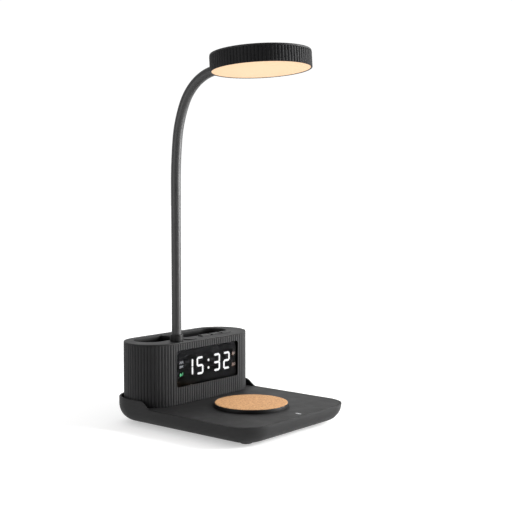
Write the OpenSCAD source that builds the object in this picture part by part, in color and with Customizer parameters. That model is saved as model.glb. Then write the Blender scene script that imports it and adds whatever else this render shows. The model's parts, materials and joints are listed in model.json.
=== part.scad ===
// Desk lamp on a tray base: a bendable neck with a round light head, a fluted housing with a
// clock and a pen well, and a round charging pad on the flat part of the tray.
// Millimetres, +Z up, origin on the desk under the centre of the base, -Y towards the user.

/* [Base] */
// Width of the base, side to side
base_w = 170; // [166:1:190]
// Depth of the base, front to back
base_d = 197; // [194:1:215]
// Height of the flat top above the desk
base_top = 20.5; // [20:0.5:26]
// Corner radius of the base, seen from above
base_r = 29.5; // [27:0.5:34]
// Radius of the bowl-shaped side
side_r = 18.4; // [14:0.2:18.4]
// Thickness of the shell's floor
floor_t = 2.4; // [2:0.2:3]
// Width of the rim beside the top plate
rim_t = 2.2; // [1.8:0.1:2.6]
// Thickness of the top plate
plate_t = 2.2; // [1.8:0.1:2.8]
// Height of the cradle that rises behind and beside the housing
cradle_h = 7.8; // [5:0.2:10]
// Length of the cradle's S-shaped front slope
slope_l = 16; // [10:1:24]
// Height of the shell's underside above the desk
foot_lift = 2.1; // [1.5:0.1:3]
// Radius of a rubber foot
foot_r = 6.4; // [5:0.2:7]

/* [Charging pad] */
// Distance of the pad's centre in front of the base's centre
pad_front = 29.1; // [26:0.5:34]
// Radius of the cork disc
cork_r = 38; // [34:0.5:40]
// Thickness of the cork disc
cork_t = 1.6; // [1.2:0.1:2]
// Width of the black ring around the cork
ring_w = 1.4; // [1:0.1:2.5]
// Height of the black ring above the base
ring_h = 3.9; // [3.4:0.1:5]
// Outer radius of the charging coil
coil_r = 22; // [18:1:26]

/* [Housing] */
// Depth of the housing, which is also the width of its round ends
house_d = 64.4; // [62:0.2:65]
// Height of the housing's top above the desk
house_top = 86.3; // [84:0.5:100]
// Thickness of the fluted wall, measured at a rib's crest
wall_t = 2.2; // [2:0.1:2.6]
// Width of one rib of the housing and of the light head
rib_w = 3.5; // [3:0.1:5]
// Depth of the groove between two ribs
rib_depth = 0.8; // [0.4:0.1:1.1]
// Thickness of the smooth top deck
deck_t = 1.4; // [1.2:0.1:2.4]

/* [Pen well] */
// Length of the pen well
well_l = 131; // [110:1:134]
// Length of the well's left compartment
well_first = 51.2; // [36:0.2:80]
// Depth of the well's mouth, front to back
well_d = 35; // [30:1:36]
// Depth of the well below the deck
well_deep = 52; // [35:1:52]
// Thickness of the well's walls and divider
well_wall = 1.6; // [1.2:0.1:2]

/* [Clock] */
// Width of the display window
window_w = 97; // [90:1:98]
// Height of the display window
window_h = 38.7; // [34:0.1:40]
// Height of the window's centre above the desk
window_z = 58.4; // [57:0.1:60]
// Thickness of the window
window_t = 2; // [1.6:0.1:2.4]
// Height of a digit
digit_h = 19; // [15:0.1:22]
// Width of a digit
digit_w = 10.5; // [9:0.1:13]
// Width of a lit segment
segment_w = 2.1; // [1.4:0.1:2.6]

/* [Controls] */
// Radius of the round power button
button_r = 7.9; // [6:0.1:8.2]
// Width of a rectangular key
key_w = 14.4; // [11:0.1:14.6]
// Depth of a rectangular key, front to back
key_d = 6.8; // [5:0.1:7]
// Distance from one key to the next
key_pitch = 16.3; // [15.8:0.1:17]
// How far the keys stand above the deck
key_proud = 1.2; // [0.9:0.1:2]
// How far a button or key travels when it is pressed
key_travel = 0.8; // [0.4:0.1:0.8]

/* [Neck] */
// Length of the straight part of the neck above the deck
neck_rise = 163.7; // [120:0.1:200]
// Radius of the first, widest bend
bend_1_r = 430; // [300:5:600]
// Angle of the first bend
bend_1_a = 6.3; // [4:0.1:10]
// Radius of the second bend
bend_2_r = 116.5; // [90:0.5:140]
// Angle of the second bend
bend_2_a = 19; // [12:0.5:24]
// Radius of the last, tightest bend
bend_3_r = 54.3; // [48:0.1:70]
// Angle of the last bend
bend_3_a = 61; // [50:0.1:64]
// Outer radius of the silicone sleeve
sleeve_r = 5.15; // [4.9:0.05:5.6]
// Wall of the silicone sleeve
sleeve_t = 0.9; // [0.6:0.05:1]
// Outer radius of the steel core
core_r = 3.9; // [3.8:0.05:3.95]
// Radius of a ball of the core
ball_r = 3; // [2.8:0.05:3.1]

/* [Light head] */
// Outer radius of the light head at its ribs
head_r = 49.5; // [46:0.1:54]
// Height of the fluted wall
head_h = 17; // [15:0.5:20]
// Thickness of the head's wall at a rib's crest
head_wall = 1.5; // [1.5:0.1:2.2]
// Thickness of the head's top
head_top_t = 2; // [1.6:0.1:3]
// Thickness of the opal diffuser
diffuser_t = 2; // [1.6:0.1:2.6]
// Number of light-emitting diodes around the board
led_count = 30; // [12:1:36]

/* [Hidden] */
$fn = 72;
eps = 0.01;
fit_gap = 0.15;
run_gap = 0.05;
screw_r = 1.3;
screw_bore = screw_r + run_gap;
screw_head_r = 2.8;
screw_head_h = 2.2;
small_screw_r = 1;
small_bore = small_screw_r + run_gap;
board_screw_r = 1.9;
board_screw_h = 1.2;
board_t = 1.6;
black = [0.09, 0.09, 0.1];
charcoal = [0.2, 0.2, 0.21];
board_green = [0.1, 0.3, 0.16];
steel = [0.62, 0.63, 0.65];
ribbon_grey = [0.55, 0.56, 0.58];

// Base, from the desk up
side_arc = min(side_r, base_top - foot_lift);
floor_z = foot_lift + floor_t;
plate_z = base_top - plate_t;
ledge_in = rim_t + 2.3;
cavity_arc = side_arc - ledge_in;
foot_in = base_r - 2.5;
foot_x = base_w / 2 - foot_in;
foot_y = base_d / 2 - foot_in;
foot_seat = 1;
post_z = floor_z + 4;
post_r = 6;
screw_seat_z = foot_lift + 3.8;
cradle_top = base_top + cradle_h;
cradle_gap = 0.5;

// Housing inside the cradle
house_w = base_w - 2 * (rim_t + cradle_gap);
house_r = house_d / 2;
house_back = base_d / 2 - rim_t - cradle_gap;
house_y = house_back - house_r;
house_front = house_back - house_d;
deck_z = house_top - deck_t;
deck_edge = 0.6;
slope_y = house_front + 10.8;
house_ribs = round((2 * (house_w - house_d) + PI * house_d) / rib_w);

// Pen well: a stadium set towards the back of the deck, nearly in its middle. Of the length
// that is left over, the share well_share lies on its left.
well_back = 7.8;
well_share = 0.455;
well_left = well_share * (house_w - well_l);
well_r = well_d / 2;
well_y = house_back - well_back - well_r;
well_x = -house_w / 2 + well_left + well_l / 2;
well_floor = house_top - well_deep;
well_front = well_y - well_r;
divider_drop = 0.6;
divider_x = well_x - well_l / 2 + well_first + well_wall / 2;

// Screw bosses that hang from the deck, beside the well
boss_r = 3.6;
boss_left = 7.3;
boss_right = 11.8;
boss_x = house_w / 2 - boss_right;
boss_apart = 11.5;
housing_boss = [[boss_left - house_w / 2, house_y], [boss_x, house_y - boss_apart],
    [boss_x, house_y + boss_apart]];

// Charging pad
pad_y = -pad_front;
ring_r = cork_r + ring_w;
ring_top = base_top + ring_h;
ring_edge = 0.6;
cork_proud = 0.4;
cork_z = ring_top + cork_proud - cork_t;
pad_floor_t = 1;
coil_top = cork_z - pad_floor_t;
coil_t = 1.2;
skirt_r = cork_r - 7;
skirt_t = 1;
skirt_deep = plate_t;
ferrite_t = 1;
light_x = 3;
light_l = 7;
light_w = 2;
light_y = -base_d / 2 + 9.8;

// Charger board hangs from the plate in front of the coil
charger_w = 50;
charger_d = 32;
charger_y = -base_d / 2 + 7.5 + charger_d / 2;
charger_top = plate_z - 4.3;
charger_z = charger_top - board_t;
charger_post = [charger_w / 2 - 4, charger_d / 2 - 4];

// Ballast plate on the floor of the shell, between the screw posts and behind the charger board
ballast_gap = 2;
ballast_w = 2 * (foot_x - post_r - ballast_gap);
ballast_front = charger_y + charger_d / 2 + 4;
ballast_back = foot_y + 1.5;
ballast = [ballast_w, ballast_back - ballast_front, 3];
ballast_y = (ballast_front + ballast_back) / 2;
peg_r = 2;
peg_x = ballast_w / 2 - 12;

// Main board on posts of the plate, under the pen well, with the neck's plug near its left end
neck_x = -38.8;
main_w = 96;
main_left = neck_x - 9.2;
main_x = main_left + main_w / 2;
main_front = house_front + 6;
main_d = 50;
main_y = main_front + main_d / 2;
main_z = base_top + 4.7;
main_top = main_z + board_t;
main_post = [main_w / 2 - 4, main_d / 2 - 4];
cell_x = main_x + main_w / 2 - 22;
buzzer_x = main_left + 26;
plug_h = 4;
inlet_w = 9;
inlet_h = 3.2;
inlet_d = 11;
notch_w = 20;

// Flat leads
ribbon_w = 12;
ribbon_t = 0.8;
ribbon_y = main_front + 12;
display_ribbon_x = -24;

// Clock behind the window
window_proud = 0.3;
window_y = house_front - window_proud;
window_back = window_y + window_t;
window_r = 2.5;
window_lip = 2;
digit_t = 0.3;
module_face = window_back + 0.4;
module_t = 4;
module_back = module_face + module_t;
module_w = window_w - 2 * window_lip - 1;
module_h = window_h - 2 * window_lip - 2;
display_board_t = 1.2;
digit_gap = 16;
colon_x = 2.2;
colon_gap = 13.4;
colon_z = [4.2, -4.2];
digit_drop = 0.7;
digit_x = [colon_x - colon_gap - digit_gap, colon_x - colon_gap, colon_x + colon_gap,
    colon_x + colon_gap + digit_gap];
digit_y = module_face - digit_t;
shown = ["bc", "afgcd", "abgcd", "abged"];
// small lights at both ends: centre x, centre z from the window's middle, width, height
status = [[-39.9, 5.8, 6, 3.2], [-39.9, 1.3, 6, 3.2], [-39.9, -6.6, 6, 4.4], [43.6, 5.7, 4.6, 4.4],
    [43.6, -6.3, 4.6, 4.4]];

// Controls on the front band of the deck
band_y = (house_front + well_front) / 2;
button_x = -18.2;
button_y = band_y - 0.25;
key_y = band_y + 3.95;
key_x0 = 9.9;
key_hole_gap = 0.15;
button_proud = 0.9;
button_edge = 0.5;
key_corner = 0.65;
key_edge = 0.4;
tab_t = 0.9;
tab_gap = 0.2;
tab_top = deck_z - tab_gap;
tab_z = tab_top - tab_t;
plunger_top = tab_z - key_travel - 0.1;
switch_h = 3.2;
switch_z = plunger_top - 0.7 - switch_h;
key_board_z = switch_z - board_t;
key_board_x = [button_x - 8, key_x0 + 2 * key_pitch + 14];
key_board_y = [house_front + 4, well_front - well_wall - 0.5];
key_post = [[(button_x + button_r + key_x0 - key_w / 2) / 2, button_y - 2], [key_x0 + 2 * key_pitch + 10.5, button_y]];

// Neck: a straight rise and three bends towards the user, all in one upright plane
neck_y = band_y - 1;
bend_r = [bend_1_r, bend_2_r, bend_3_r];
bend_a = [bend_1_a, bend_2_a, bend_3_a];
// length of the neck up to the start of bend k
function bend_start(k) = k == 0 ? neck_rise : bend_start(k - 1) + bend_r[k - 1] * bend_a[k - 1] * PI / 180;
// lean of the neck from upright at the start of bend k, in degrees
function bend_lean(k) = k == 0 ? 0 : bend_lean(k - 1) + bend_a[k - 1];
// centre of bend k, as [y, z]: the point at its start, less the radius
function bend_centre(k) = bend_point(k) - bend_r[k] * [cos(bend_lean(k)), sin(bend_lean(k))];
function bend_point(k) = k == 0
    ? [neck_y, house_top + neck_rise]
    : bend_centre(k - 1) + bend_r[k - 1] * [cos(bend_lean(k)), sin(bend_lean(k))];
neck_l = bend_start(2) + bend_3_r * bend_3_a * PI / 180;
function bend_of(s) = s < bend_start(0) ? -1 : s < bend_start(1) ? 0 : s < bend_start(2) ? 1 : 2;
// lean at length s along the neck
function lean_at(s) = bend_of(s) < 0
    ? 0
    : bend_lean(bend_of(s)) + (s - bend_start(bend_of(s))) * 180 / PI / bend_r[bend_of(s)];
// point at length s along the neck, as [y, z]
function neck_at(s) = bend_of(s) < 0
    ? [neck_y, house_top + s]
    : bend_centre(bend_of(s)) + bend_r[bend_of(s)] * [cos(lean_at(s)), sin(lean_at(s))];
// bending points: evenly along the straight rise, then two more in each bend
first_joint = 12;
last_joint = 12;
straight_links = 5;
links_per_bend = 2;
neck_joints = straight_links + 3 * links_per_bend + 1;
bend_stop = [bend_start(1), bend_start(2), neck_l - last_joint];
function joint_s(j) = j <= straight_links
    ? first_joint + (neck_rise - first_joint) * j / straight_links
    : let (i = j - straight_links - 1, k = floor(i / links_per_bend))
        bend_start(k) + (bend_stop[k] - bend_start(k)) * (i % links_per_bend + 1) / links_per_bend;
socket_r = ball_r + run_gap;
socket_lip = 1.2;
socket_l = 4.6;
stem_r = 1.7;
stem_l = 2.6;
tube_r = core_r - 0.3;
core_bore = 1.2;
lead_r = 0.8;
nut_r = 7;
nut_h = 5;
ferrule_drop = 7;
collar_r = 7;
collar_h = 7.4;
collar_edge = 0.8;

// Light head, in its own frame: origin at the middle of the disc, back towards the neck
head_lean = bend_lean(2) + bend_3_a - 90;
head_sink = 7;
head_at = [neck_x, neck_at(neck_l)[0] - (head_r + head_sink) * cos(head_lean),
    neck_at(neck_l)[1] - (head_r + head_sink) * sin(head_lean)];
head_ribs = round(2 * PI * head_r / rib_w);
cavity_r = head_r - head_wall;
diffuser_r = cavity_r - fit_gap;
head_ledge = 0.9;
head_low = -head_h / 2;
head_high = head_h / 2;
ledge_z = head_low + diffuser_t;
socket_out = sleeve_r + 1.2;
socket_reach = 9;
slot_gap = 2.65;
slot_w = 2 * (socket_out + slot_gap);
led_board_r = head_r - 9;
led_board_z = head_high - head_top_t - 4.5;
led_board_t = 1.5;
guide_low = ledge_z + 0.2;
led_ring = led_board_r - 5;
head_post_ring = 26;
head_posts = [for (a = [30, 150, 270]) head_post_ring * [cos(a), sin(a)]];

// ---------- shared shapes ----------

// a solid with rounded corners whose upright section, from a corner's centre outwards, is the child
module round_swept(w, d, r, low, high) {
    for (q = [[1, 1, 0], [-1, 1, 90], [-1, -1, 180], [1, -1, 270]])
        translate([q[0] * (w / 2 - r), q[1] * (d / 2 - r), 0])
            rotate([0, 0, q[2]]) rotate_extrude(angle = 90) children();
    for (turn = [0, 180]) {
        if (d > 2 * r) rotate([0, 0, turn]) translate([w / 2 - r, d / 2 - r, 0])
            rotate([90, 0, 0]) linear_extrude(height = d - 2 * r) children();
        rotate([0, 0, turn + 90]) translate([d / 2 - r, w / 2 - r, 0])
            rotate([90, 0, 0]) linear_extrude(height = w - 2 * r) children();
    }
    if (d > 2 * r) translate([r - w / 2, r - d / 2, low]) cube([w - 2 * r, d - 2 * r, high - low]);
}

// section of a slab with a rounded upper edge, from its centre outwards
module rim_section(r, h, edge) {
    square([r - edge, h]);
    square([r, h - edge]);
    translate([r - edge, h - edge]) intersection() {
        circle(edge);
        square(edge);
    }
}

// section of a bowl-sided block: flat floor, quarter-round side, upright above
module bowl_section(r, low, high, arc) {
    translate([0, low]) square([r - arc, high - low]);
    if (high > low + arc) translate([r - arc, low + arc]) square([arc, high - low - arc]);
    intersection() {
        translate([r - arc, low + arc]) circle(arc);
        translate([r - arc, low]) square([arc, min(arc, high - low)]);
    }
}

module round_plate(w, d, r, t) {
    for (x = [r - w / 2, w / 2 - r], y = [r - d / 2, d / 2 - r])
        translate([x, y, 0]) cylinder(r = r, h = t);
    translate([r - w / 2, -d / 2, 0]) cube([w - 2 * r, d, t]);
    translate([-w / 2, r - d / 2, 0]) cube([w, d - 2 * r, t]);
}

// a flat bar with round ends, lying along X
module stadium(l, d, t, sides = 72) {
    for (x = [-1, 1]) translate([x * (l - d) / 2, 0, 0]) cylinder(d = d, h = t, $fn = sides);
    translate([(d - l) / 2, -d / 2, 0]) cube([l - d, d, t]);
}

// depth of the surface below the crest, at fraction u across one rib
function rib_drop(u) = rib_depth * (1 - sqrt(max(0, 1 - pow(abs(2 * u - 1), 2.4))));
rib_steps = [0.03, 0.12, 0.3, 0.5, 0.7, 0.88, 0.97];
// point at length s round a stadium of length l and depth d, moved inwards by drop
function stadium_point(s, l, d, drop) =
    let (a = l - d, c = PI * d / 2, r = d / 2 - drop)
    s < a ? [s - a / 2, -r]
    : s < a + c ? [a / 2 + r * sin((s - a) / c * 180), -r * cos((s - a) / c * 180)]
    : s < 2 * a + c ? [a / 2 - (s - a - c), r]
    : [-a / 2 - r * sin((s - 2 * a - c) / c * 180), r * cos((s - 2 * a - c) / c * 180)];
function fluted_stadium(l, d, n) =
    let (around = 2 * (l - d) + PI * d)
    [for (k = [0:n - 1], u = rib_steps) stadium_point((k + u) / n * around, l, d, rib_drop(u))];
function fluted_circle(r, n) =
    [for (k = [0:n - 1], u = rib_steps) let (a = (k + u) / n * 360)
        (r - rib_drop(u)) * [cos(a), sin(a)]];

module at_corners(x, y) {
    for (sx = [-1, 1], sy = [-1, 1]) translate([sx * x, sy * y, 0]) children();
}

module at_points(list) {
    for (p = list) translate([p[0], p[1], 0]) children();
}

module at_charger_posts() {
    translate([0, charger_y, 0]) at_corners(charger_post[0], charger_post[1]) children();
}

module at_main_posts() {
    translate([main_x, main_y, 0]) at_corners(main_post[0], main_post[1]) children();
}

module screw(r, l, head_r, head_h) {
    cylinder(r = head_r, h = head_h);
    translate([0, 0, head_h]) cylinder(r = r, h = l);
}

// cross recess in a screw's head
module cross_recess(head_r) {
    for (turn = [0, 90])
        rotate([0, 0, turn]) translate([-head_r * 0.6, -head_r * 0.12, -eps])
            cube([head_r * 1.2, head_r * 0.24, head_r * 0.35]);
}

// ---------- base ----------

module cradle_profile() {
    // seen from the side, y across and z up: an S-shaped slope, then level to the back
    steps = 14;
    slope = [for (k = [0:steps]) let (t = k / steps)
        [slope_y + (t - 0.5) * slope_l, base_top + cradle_h * (1 - cos(180 * t)) / 2]];
    polygon(concat(slope, [[base_d / 2 + 1, cradle_top], [base_d / 2 + 1, base_top]]));
}

module cradle() {
    intersection() {
        difference() {
            translate([0, 0, base_top]) round_plate(base_w, base_d, base_r, cradle_h);
            translate([0, 0, base_top - eps])
                round_plate(base_w - 2 * rim_t, base_d - 2 * rim_t, base_r - rim_t, cradle_h + 2 * eps);
        }
        translate([-base_w, 0, 0]) rotate([90, 0, 90]) linear_extrude(height = 2 * base_w) cradle_profile();
    }
}

module base_shell() {
    color(charcoal) difference() {
        union() {
            difference() {
                round_swept(base_w, base_d, base_r, foot_lift, base_top)
                    bowl_section(base_r, foot_lift, base_top, side_arc);
                round_swept(base_w - 2 * ledge_in, base_d - 2 * ledge_in, base_r - ledge_in, floor_z,
                    plate_z + eps) bowl_section(base_r - ledge_in, floor_z, plate_z + eps, cavity_arc);
                translate([0, 0, plate_z])
                    round_plate(base_w - 2 * rim_t, base_d - 2 * rim_t, base_r - rim_t, plate_t + eps);
            }
            cradle();
            at_corners(foot_x, foot_y) translate([0, 0, floor_z - eps])
                cylinder(r = post_r, h = post_z - floor_z + eps);
            for (x = [-peg_x, peg_x]) translate([x, ballast_y, floor_z - eps])
                cylinder(r = peg_r, h = ballast[2] - 0.5 + eps);
        }
        at_corners(foot_x, foot_y) {
            translate([0, 0, foot_lift - eps]) cylinder(r = foot_r + fit_gap, h = foot_seat + eps);
            translate([0, 0, foot_lift]) cylinder(r = screw_head_r + 0.3, h = screw_seat_z - foot_lift);
            cylinder(r = screw_r + 0.4, h = post_z + 1);
        }
        // way out for the power inlet, through the cradle's back
        translate([-notch_w / 2, base_d / 2 - rim_t - 1, base_top + 2.5])
            cube([notch_w, rim_t + 2, cradle_h]);
    }
}

module base_feet() {
    color(black) at_corners(foot_x, foot_y) {
        cylinder(r1 = foot_r - 0.6, r2 = foot_r, h = 0.6);
        translate([0, 0, 0.6]) cylinder(r = foot_r, h = foot_lift + foot_seat - 0.6);
    }
}

module base_screws() {
    color(steel) at_corners(foot_x, foot_y) translate([0, 0, screw_seat_z - screw_head_h]) difference() {
        screw(screw_r, 10, screw_head_r, screw_head_h);
        cross_recess(screw_head_r);
    }
}

module ballast_plate() {
    color(steel) difference() {
        translate([0, ballast_y, floor_z]) round_plate(ballast[0], ballast[1], 4, ballast[2]);
        for (x = [-peg_x, peg_x]) translate([x, ballast_y, 0]) cylinder(r = peg_r + fit_gap, h = base_top);
    }
}

module top_plate() {
    inset = rim_t + fit_gap;
    color(charcoal) difference() {
        union() {
            translate([0, 0, plate_z])
                round_plate(base_w - 2 * inset, base_d - 2 * inset, base_r - inset, plate_t);
            at_corners(foot_x, foot_y) translate([0, 0, post_z])
                cylinder(r = 4, h = plate_z - post_z + eps);
            at_charger_posts() translate([0, 0, charger_top])
                cylinder(r = 2.2, h = plate_z - charger_top + eps);
            at_main_posts() translate([0, 0, base_top - eps])
                cylinder(r = 2.4, h = main_z - base_top + eps);
        }
        translate([0, pad_y, plate_z - 1]) cylinder(r = skirt_r + fit_gap, h = plate_t + 2);
        at_corners(foot_x, foot_y) translate([0, 0, post_z - 1])
            cylinder(r = screw_bore, h = plate_z - post_z);
        at_charger_posts() translate([0, 0, charger_top - 1]) cylinder(r = small_bore, h = 5);
        at_main_posts() translate([0, 0, base_top]) cylinder(r = small_bore, h = 6);
        at_points(housing_boss) translate([0, 0, plate_z - 1]) cylinder(r = screw_r + 0.3, h = plate_t + 2);
        translate([light_x, light_y, plate_z - 1]) rotate([0, 0, 90])
            stadium(light_l + 2 * run_gap, light_w + 2 * run_gap, plate_t + 2);
        translate([-ribbon_w / 2 - 1, ribbon_y - 2, plate_z - 1]) cube([ribbon_w + 2, 4, plate_t + 2]);
    }
}

module housing_screws() {
    color(steel) at_points(housing_boss) translate([0, 0, plate_z - screw_head_h]) difference() {
        screw(screw_r, plate_t + 9, screw_head_r, screw_head_h);
        cross_recess(screw_head_r);
    }
}

module board_screws() {
    color(steel) {
        at_charger_posts() translate([0, 0, charger_z - board_screw_h])
            screw(small_screw_r, 4.5, board_screw_r, board_screw_h);
        at_main_posts() translate([0, 0, main_top + board_screw_h]) mirror([0, 0, 1])
            screw(small_screw_r, 5, board_screw_r, board_screw_h);
        at_points(key_post) translate([0, 0, key_board_z - board_screw_h])
            screw(small_screw_r, 5, board_screw_r, board_screw_h);
    }
}

// ---------- charging pad ----------

module charger_ring() {
    color(black) translate([0, pad_y, 0]) rotate_extrude() difference() {
        union() {
            translate([0, base_top]) rim_section(ring_r, ring_h, ring_edge);
            translate([0, base_top - skirt_deep]) square([skirt_r, skirt_deep + eps]);
        }
        translate([0, cork_z]) square([cork_r + run_gap, cork_t]);
        translate([0, base_top - skirt_deep - eps])
            square([skirt_r - skirt_t, coil_top - base_top + skirt_deep + eps]);
    }
}

module cork_pad() {
    color([0.76, 0.58, 0.4]) translate([0, pad_y, cork_z]) rotate_extrude()
        rim_section(cork_r, cork_t, cork_proud - run_gap);
}

module charging_coil() {
    // ten turns of litz wire wound flat, shown as rings that touch
    turns = 10;
    inner = 9;
    step = (coil_r - inner) / turns;
    color([0.72, 0.42, 0.2]) translate([0, pad_y, coil_top - coil_t]) rotate_extrude() {
        for (k = [0:turns - 1]) translate([inner + step * k, 0]) square([step * 0.86, coil_t]);
        translate([inner, 0]) square([coil_r - inner - step * 0.14, coil_t * 0.4]);
    }
}

module ferrite_disc() {
    color([0.25, 0.24, 0.24]) translate([0, pad_y, coil_top - coil_t - ferrite_t])
        cylinder(r = skirt_r - skirt_t - 0.3, h = ferrite_t);
}

module board(w, d, t) {
    translate([-w / 2, -d / 2, 0]) cube([w, d, t]);
}

module charger_board() {
    color(board_green) difference() {
        translate([0, charger_y, charger_z]) {
            board(charger_w, charger_d, board_t);
            // choke, capacitors and driver chip under the board, and the diode under the light window
            translate([-8, 3, -3.4]) cylinder(r = 4.5, h = 3.4 + eps);
            for (x = [4, 9, 14]) translate([x, 5, -2.6]) cylinder(r = 2, h = 2.6 + eps);
            translate([2, -6, -1.2]) cube([7, 7, 1.2 + eps]);
            translate([light_x - 1.5, light_y - charger_y - 1, board_t - eps]) cube([3, 2, 1.2]);
        }
        at_charger_posts() translate([0, 0, charger_z - 1]) cylinder(r = small_bore + 0.1, h = board_t + 2);
    }
}

module charge_light() {
    color([0.75, 0.76, 0.78]) translate([light_x, light_y, charger_top + 1.2])
        rotate([0, 0, 90]) stadium(light_l, light_w, base_top - charger_top - 1.2);
}

module charger_ribbon() {
    // flat lead: charger board, down to the ballast plate, back along it and up to the main board
    ballast_top = floor_z + ballast[2];
    start_y = charger_y + charger_d / 2 - 6;
    drop_y = ballast_y - ballast[1] / 2 + 3;
    color(ribbon_grey) translate([-ribbon_w / 2, 0, 0]) rotate([90, 0, 90])
        linear_extrude(height = ribbon_w) polygon([[start_y, charger_z], [drop_y, charger_z - 1],
            [drop_y + 4, ballast_top + ribbon_t], [ribbon_y - ribbon_t / 2, ballast_top + ribbon_t],
            [ribbon_y - ribbon_t / 2, main_z], [ribbon_y + ribbon_t / 2, main_z],
            [ribbon_y + ribbon_t / 2, ballast_top], [drop_y + 3.6, ballast_top],
            [drop_y - 0.8, charger_z - 1 - ribbon_t], [start_y, charger_z - ribbon_t]]);
}

// ---------- housing ----------

module housing_shell() {
    color(charcoal) difference() {
        translate([0, house_y, base_top]) linear_extrude(height = deck_z - base_top)
            polygon(fluted_stadium(house_w, house_d, house_ribs));
        translate([0, house_y, base_top - 1])
            stadium(house_w - 2 * wall_t, house_d - 2 * wall_t, deck_z - base_top + 2, 180);
        // seat of the window, with a lip behind it
        translate([0, window_back, window_z]) rotate([90, 0, 0])
            round_plate(window_w + 2 * run_gap, window_h + 2 * run_gap, window_r, window_t + 2);
        translate([0, house_front + wall_t + 1, window_z]) rotate([90, 0, 0])
            round_plate(window_w - 2 * window_lip, window_h - 2 * window_lip, window_r, wall_t + 2);
        // opening for the power inlet
        translate([0, house_back + 1, main_top + inlet_h / 2]) rotate([90, 0, 0])
            round_plate(inlet_w + 0.6, inlet_h + 0.6, 1.2, wall_t + 2);
    }
}

module well_hollow(grow, low, high) {
    translate([well_x, well_y, low]) stadium(well_l + 2 * grow, well_d + 2 * grow, high - low);
}

module top_deck() {
    divider_h = well_deep - divider_drop;
    color(charcoal) difference() {
        union() {
            translate([0, house_y, 0])
                round_swept(house_w, house_d, house_r, deck_z, house_top, $fn = 180)
                    translate([0, deck_z]) rim_section(house_r, deck_t, deck_edge, $fn = 48);
            well_hollow(well_wall, well_floor - well_wall, house_top - 0.6);
            at_points(housing_boss) translate([0, 0, base_top])
                cylinder(r = boss_r, h = deck_z - base_top + eps);
            at_points(key_post) translate([0, 0, key_board_z + board_t])
                cylinder(r = 2, h = deck_z - key_board_z - board_t + eps);
        }
        difference() {
            well_hollow(0, well_floor, house_top + 1);
            translate([divider_x - well_wall / 2, well_front - 1, well_floor - 1])
                cube([well_wall, well_d + 2, divider_h + 1]);
        }
        at_points(housing_boss) translate([0, 0, base_top - 1]) cylinder(r = screw_bore, h = 12);
        at_points(key_post) translate([0, 0, key_board_z + board_t - 1]) cylinder(r = small_bore, h = 5);
        translate([neck_x, neck_y, deck_z - 1]) cylinder(r = core_r + 0.5, h = deck_t + 2);
        translate([button_x, button_y, deck_z - 1]) cylinder(r = button_r + key_hole_gap, h = deck_t + 2);
        for (k = [0:2]) translate([key_x0 + key_pitch * k, key_y, deck_z - 1])
            round_plate(key_w + 2 * key_hole_gap, key_d + 2 * key_hole_gap, 0.8, deck_t + 2);
    }
}

module display_window() {
    color([0.05, 0.05, 0.06]) translate([0, window_back, window_z]) rotate([90, 0, 0])
        round_plate(window_w, window_h, window_r - run_gap, window_t);
}

// upright segment bar with pointed ends, centred, standing along Z
module segment(l) {
    h = l / 2;
    w = segment_w / 2;
    rotate([90, 0, 0]) translate([0, 0, -digit_t]) linear_extrude(height = digit_t)
        polygon([[0, h], [w, h - w], [w, w - h], [0, -h], [-w, w - h], [-w, h - w]]);
}

// one digit from its lit segments: a top, b and c right, d bottom, e and f left, g middle
module digit(lit) {
    reach = (digit_h - segment_w) / 2;
    side = (digit_w - segment_w) / 2;
    gap = 0.35;
    for (s = [["b", side, 1], ["c", side, -1], ["e", -side, -1], ["f", -side, 1]])
        if (len(search(s[0], lit)) > 0) translate([s[1], 0, s[2] * reach / 2]) segment(reach - gap);
    for (s = [["a", reach], ["g", 0], ["d", -reach]])
        if (len(search(s[0], lit)) > 0) translate([0, 0, s[1]]) rotate([0, 90, 0]) segment(2 * side - gap);
}

module clock_digits() {
    color("white") translate([0, digit_y, window_z - digit_drop]) {
        for (k = [0:3]) translate([digit_x[k], 0, 0]) digit(shown[k]);
        for (z = colon_z) translate([colon_x, digit_t, z]) rotate([90, 0, 0])
            cylinder(r = 1.3, h = digit_t);
    }
}

module status_lights() {
    color([0.7, 0.6, 0.35]) for (s = status)
        translate([s[0] - s[2] / 2, digit_y, window_z + s[1] - s[3] / 2]) cube([s[2], digit_t, s[3]]);
}

module display_module() {
    color(black) translate([-module_w / 2, module_face, window_z - module_h / 2])
        cube([module_w, module_t, module_h]);
}

module display_board() {
    color(board_green) translate([-module_w / 2, module_back, window_z - module_h / 2])
        cube([module_w, display_board_t, module_h]);
}

module display_ribbon() {
    thick = 0.6;
    back = module_back + display_board_t;
    color(ribbon_grey) translate([display_ribbon_x - ribbon_w / 2, back, main_top]) {
        cube([ribbon_w, thick, window_z - 8 - main_top]);
        cube([ribbon_w, main_front + 5 - back, thick]);
    }
}

module main_board() {
    color(board_green) difference() {
        union() {
            translate([main_x, main_y, main_z]) board(main_w, main_d, board_t);
            // processor, driver coil, capacitors and the neck's plug socket
            translate([cell_x - 30, main_y - 12, main_top - eps]) cube([9, 9, 1.4]);
            translate([cell_x - 18, main_y - 8, main_top - eps]) cylinder(r = 3.5, h = 3.2);
            for (y = [-4, 4, 12]) translate([main_left + 12, main_y + y, main_top - eps]) cylinder(r = 2.5, h = 4.6);
            translate([neck_x - 3, neck_y - 2.5, main_top - eps]) cube([6, 5, plug_h + eps]);
        }
        at_main_posts() translate([0, 0, main_z - 1]) cylinder(r = small_bore + 0.1, h = board_t + 2);
    }
}

module cell_holder() {
    color(black) translate([cell_x, main_y, main_top]) difference() {
        translate([-11.5, -11.5, 0]) cube([23, 23, 3]);
        translate([0, 0, 0.8]) cylinder(r = 10.2, h = 3);
    }
}

module coin_cell() {
    color([0.75, 0.76, 0.78]) translate([cell_x, main_y, main_top + 0.8]) cylinder(r = 10, h = 3.2);
}

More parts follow.
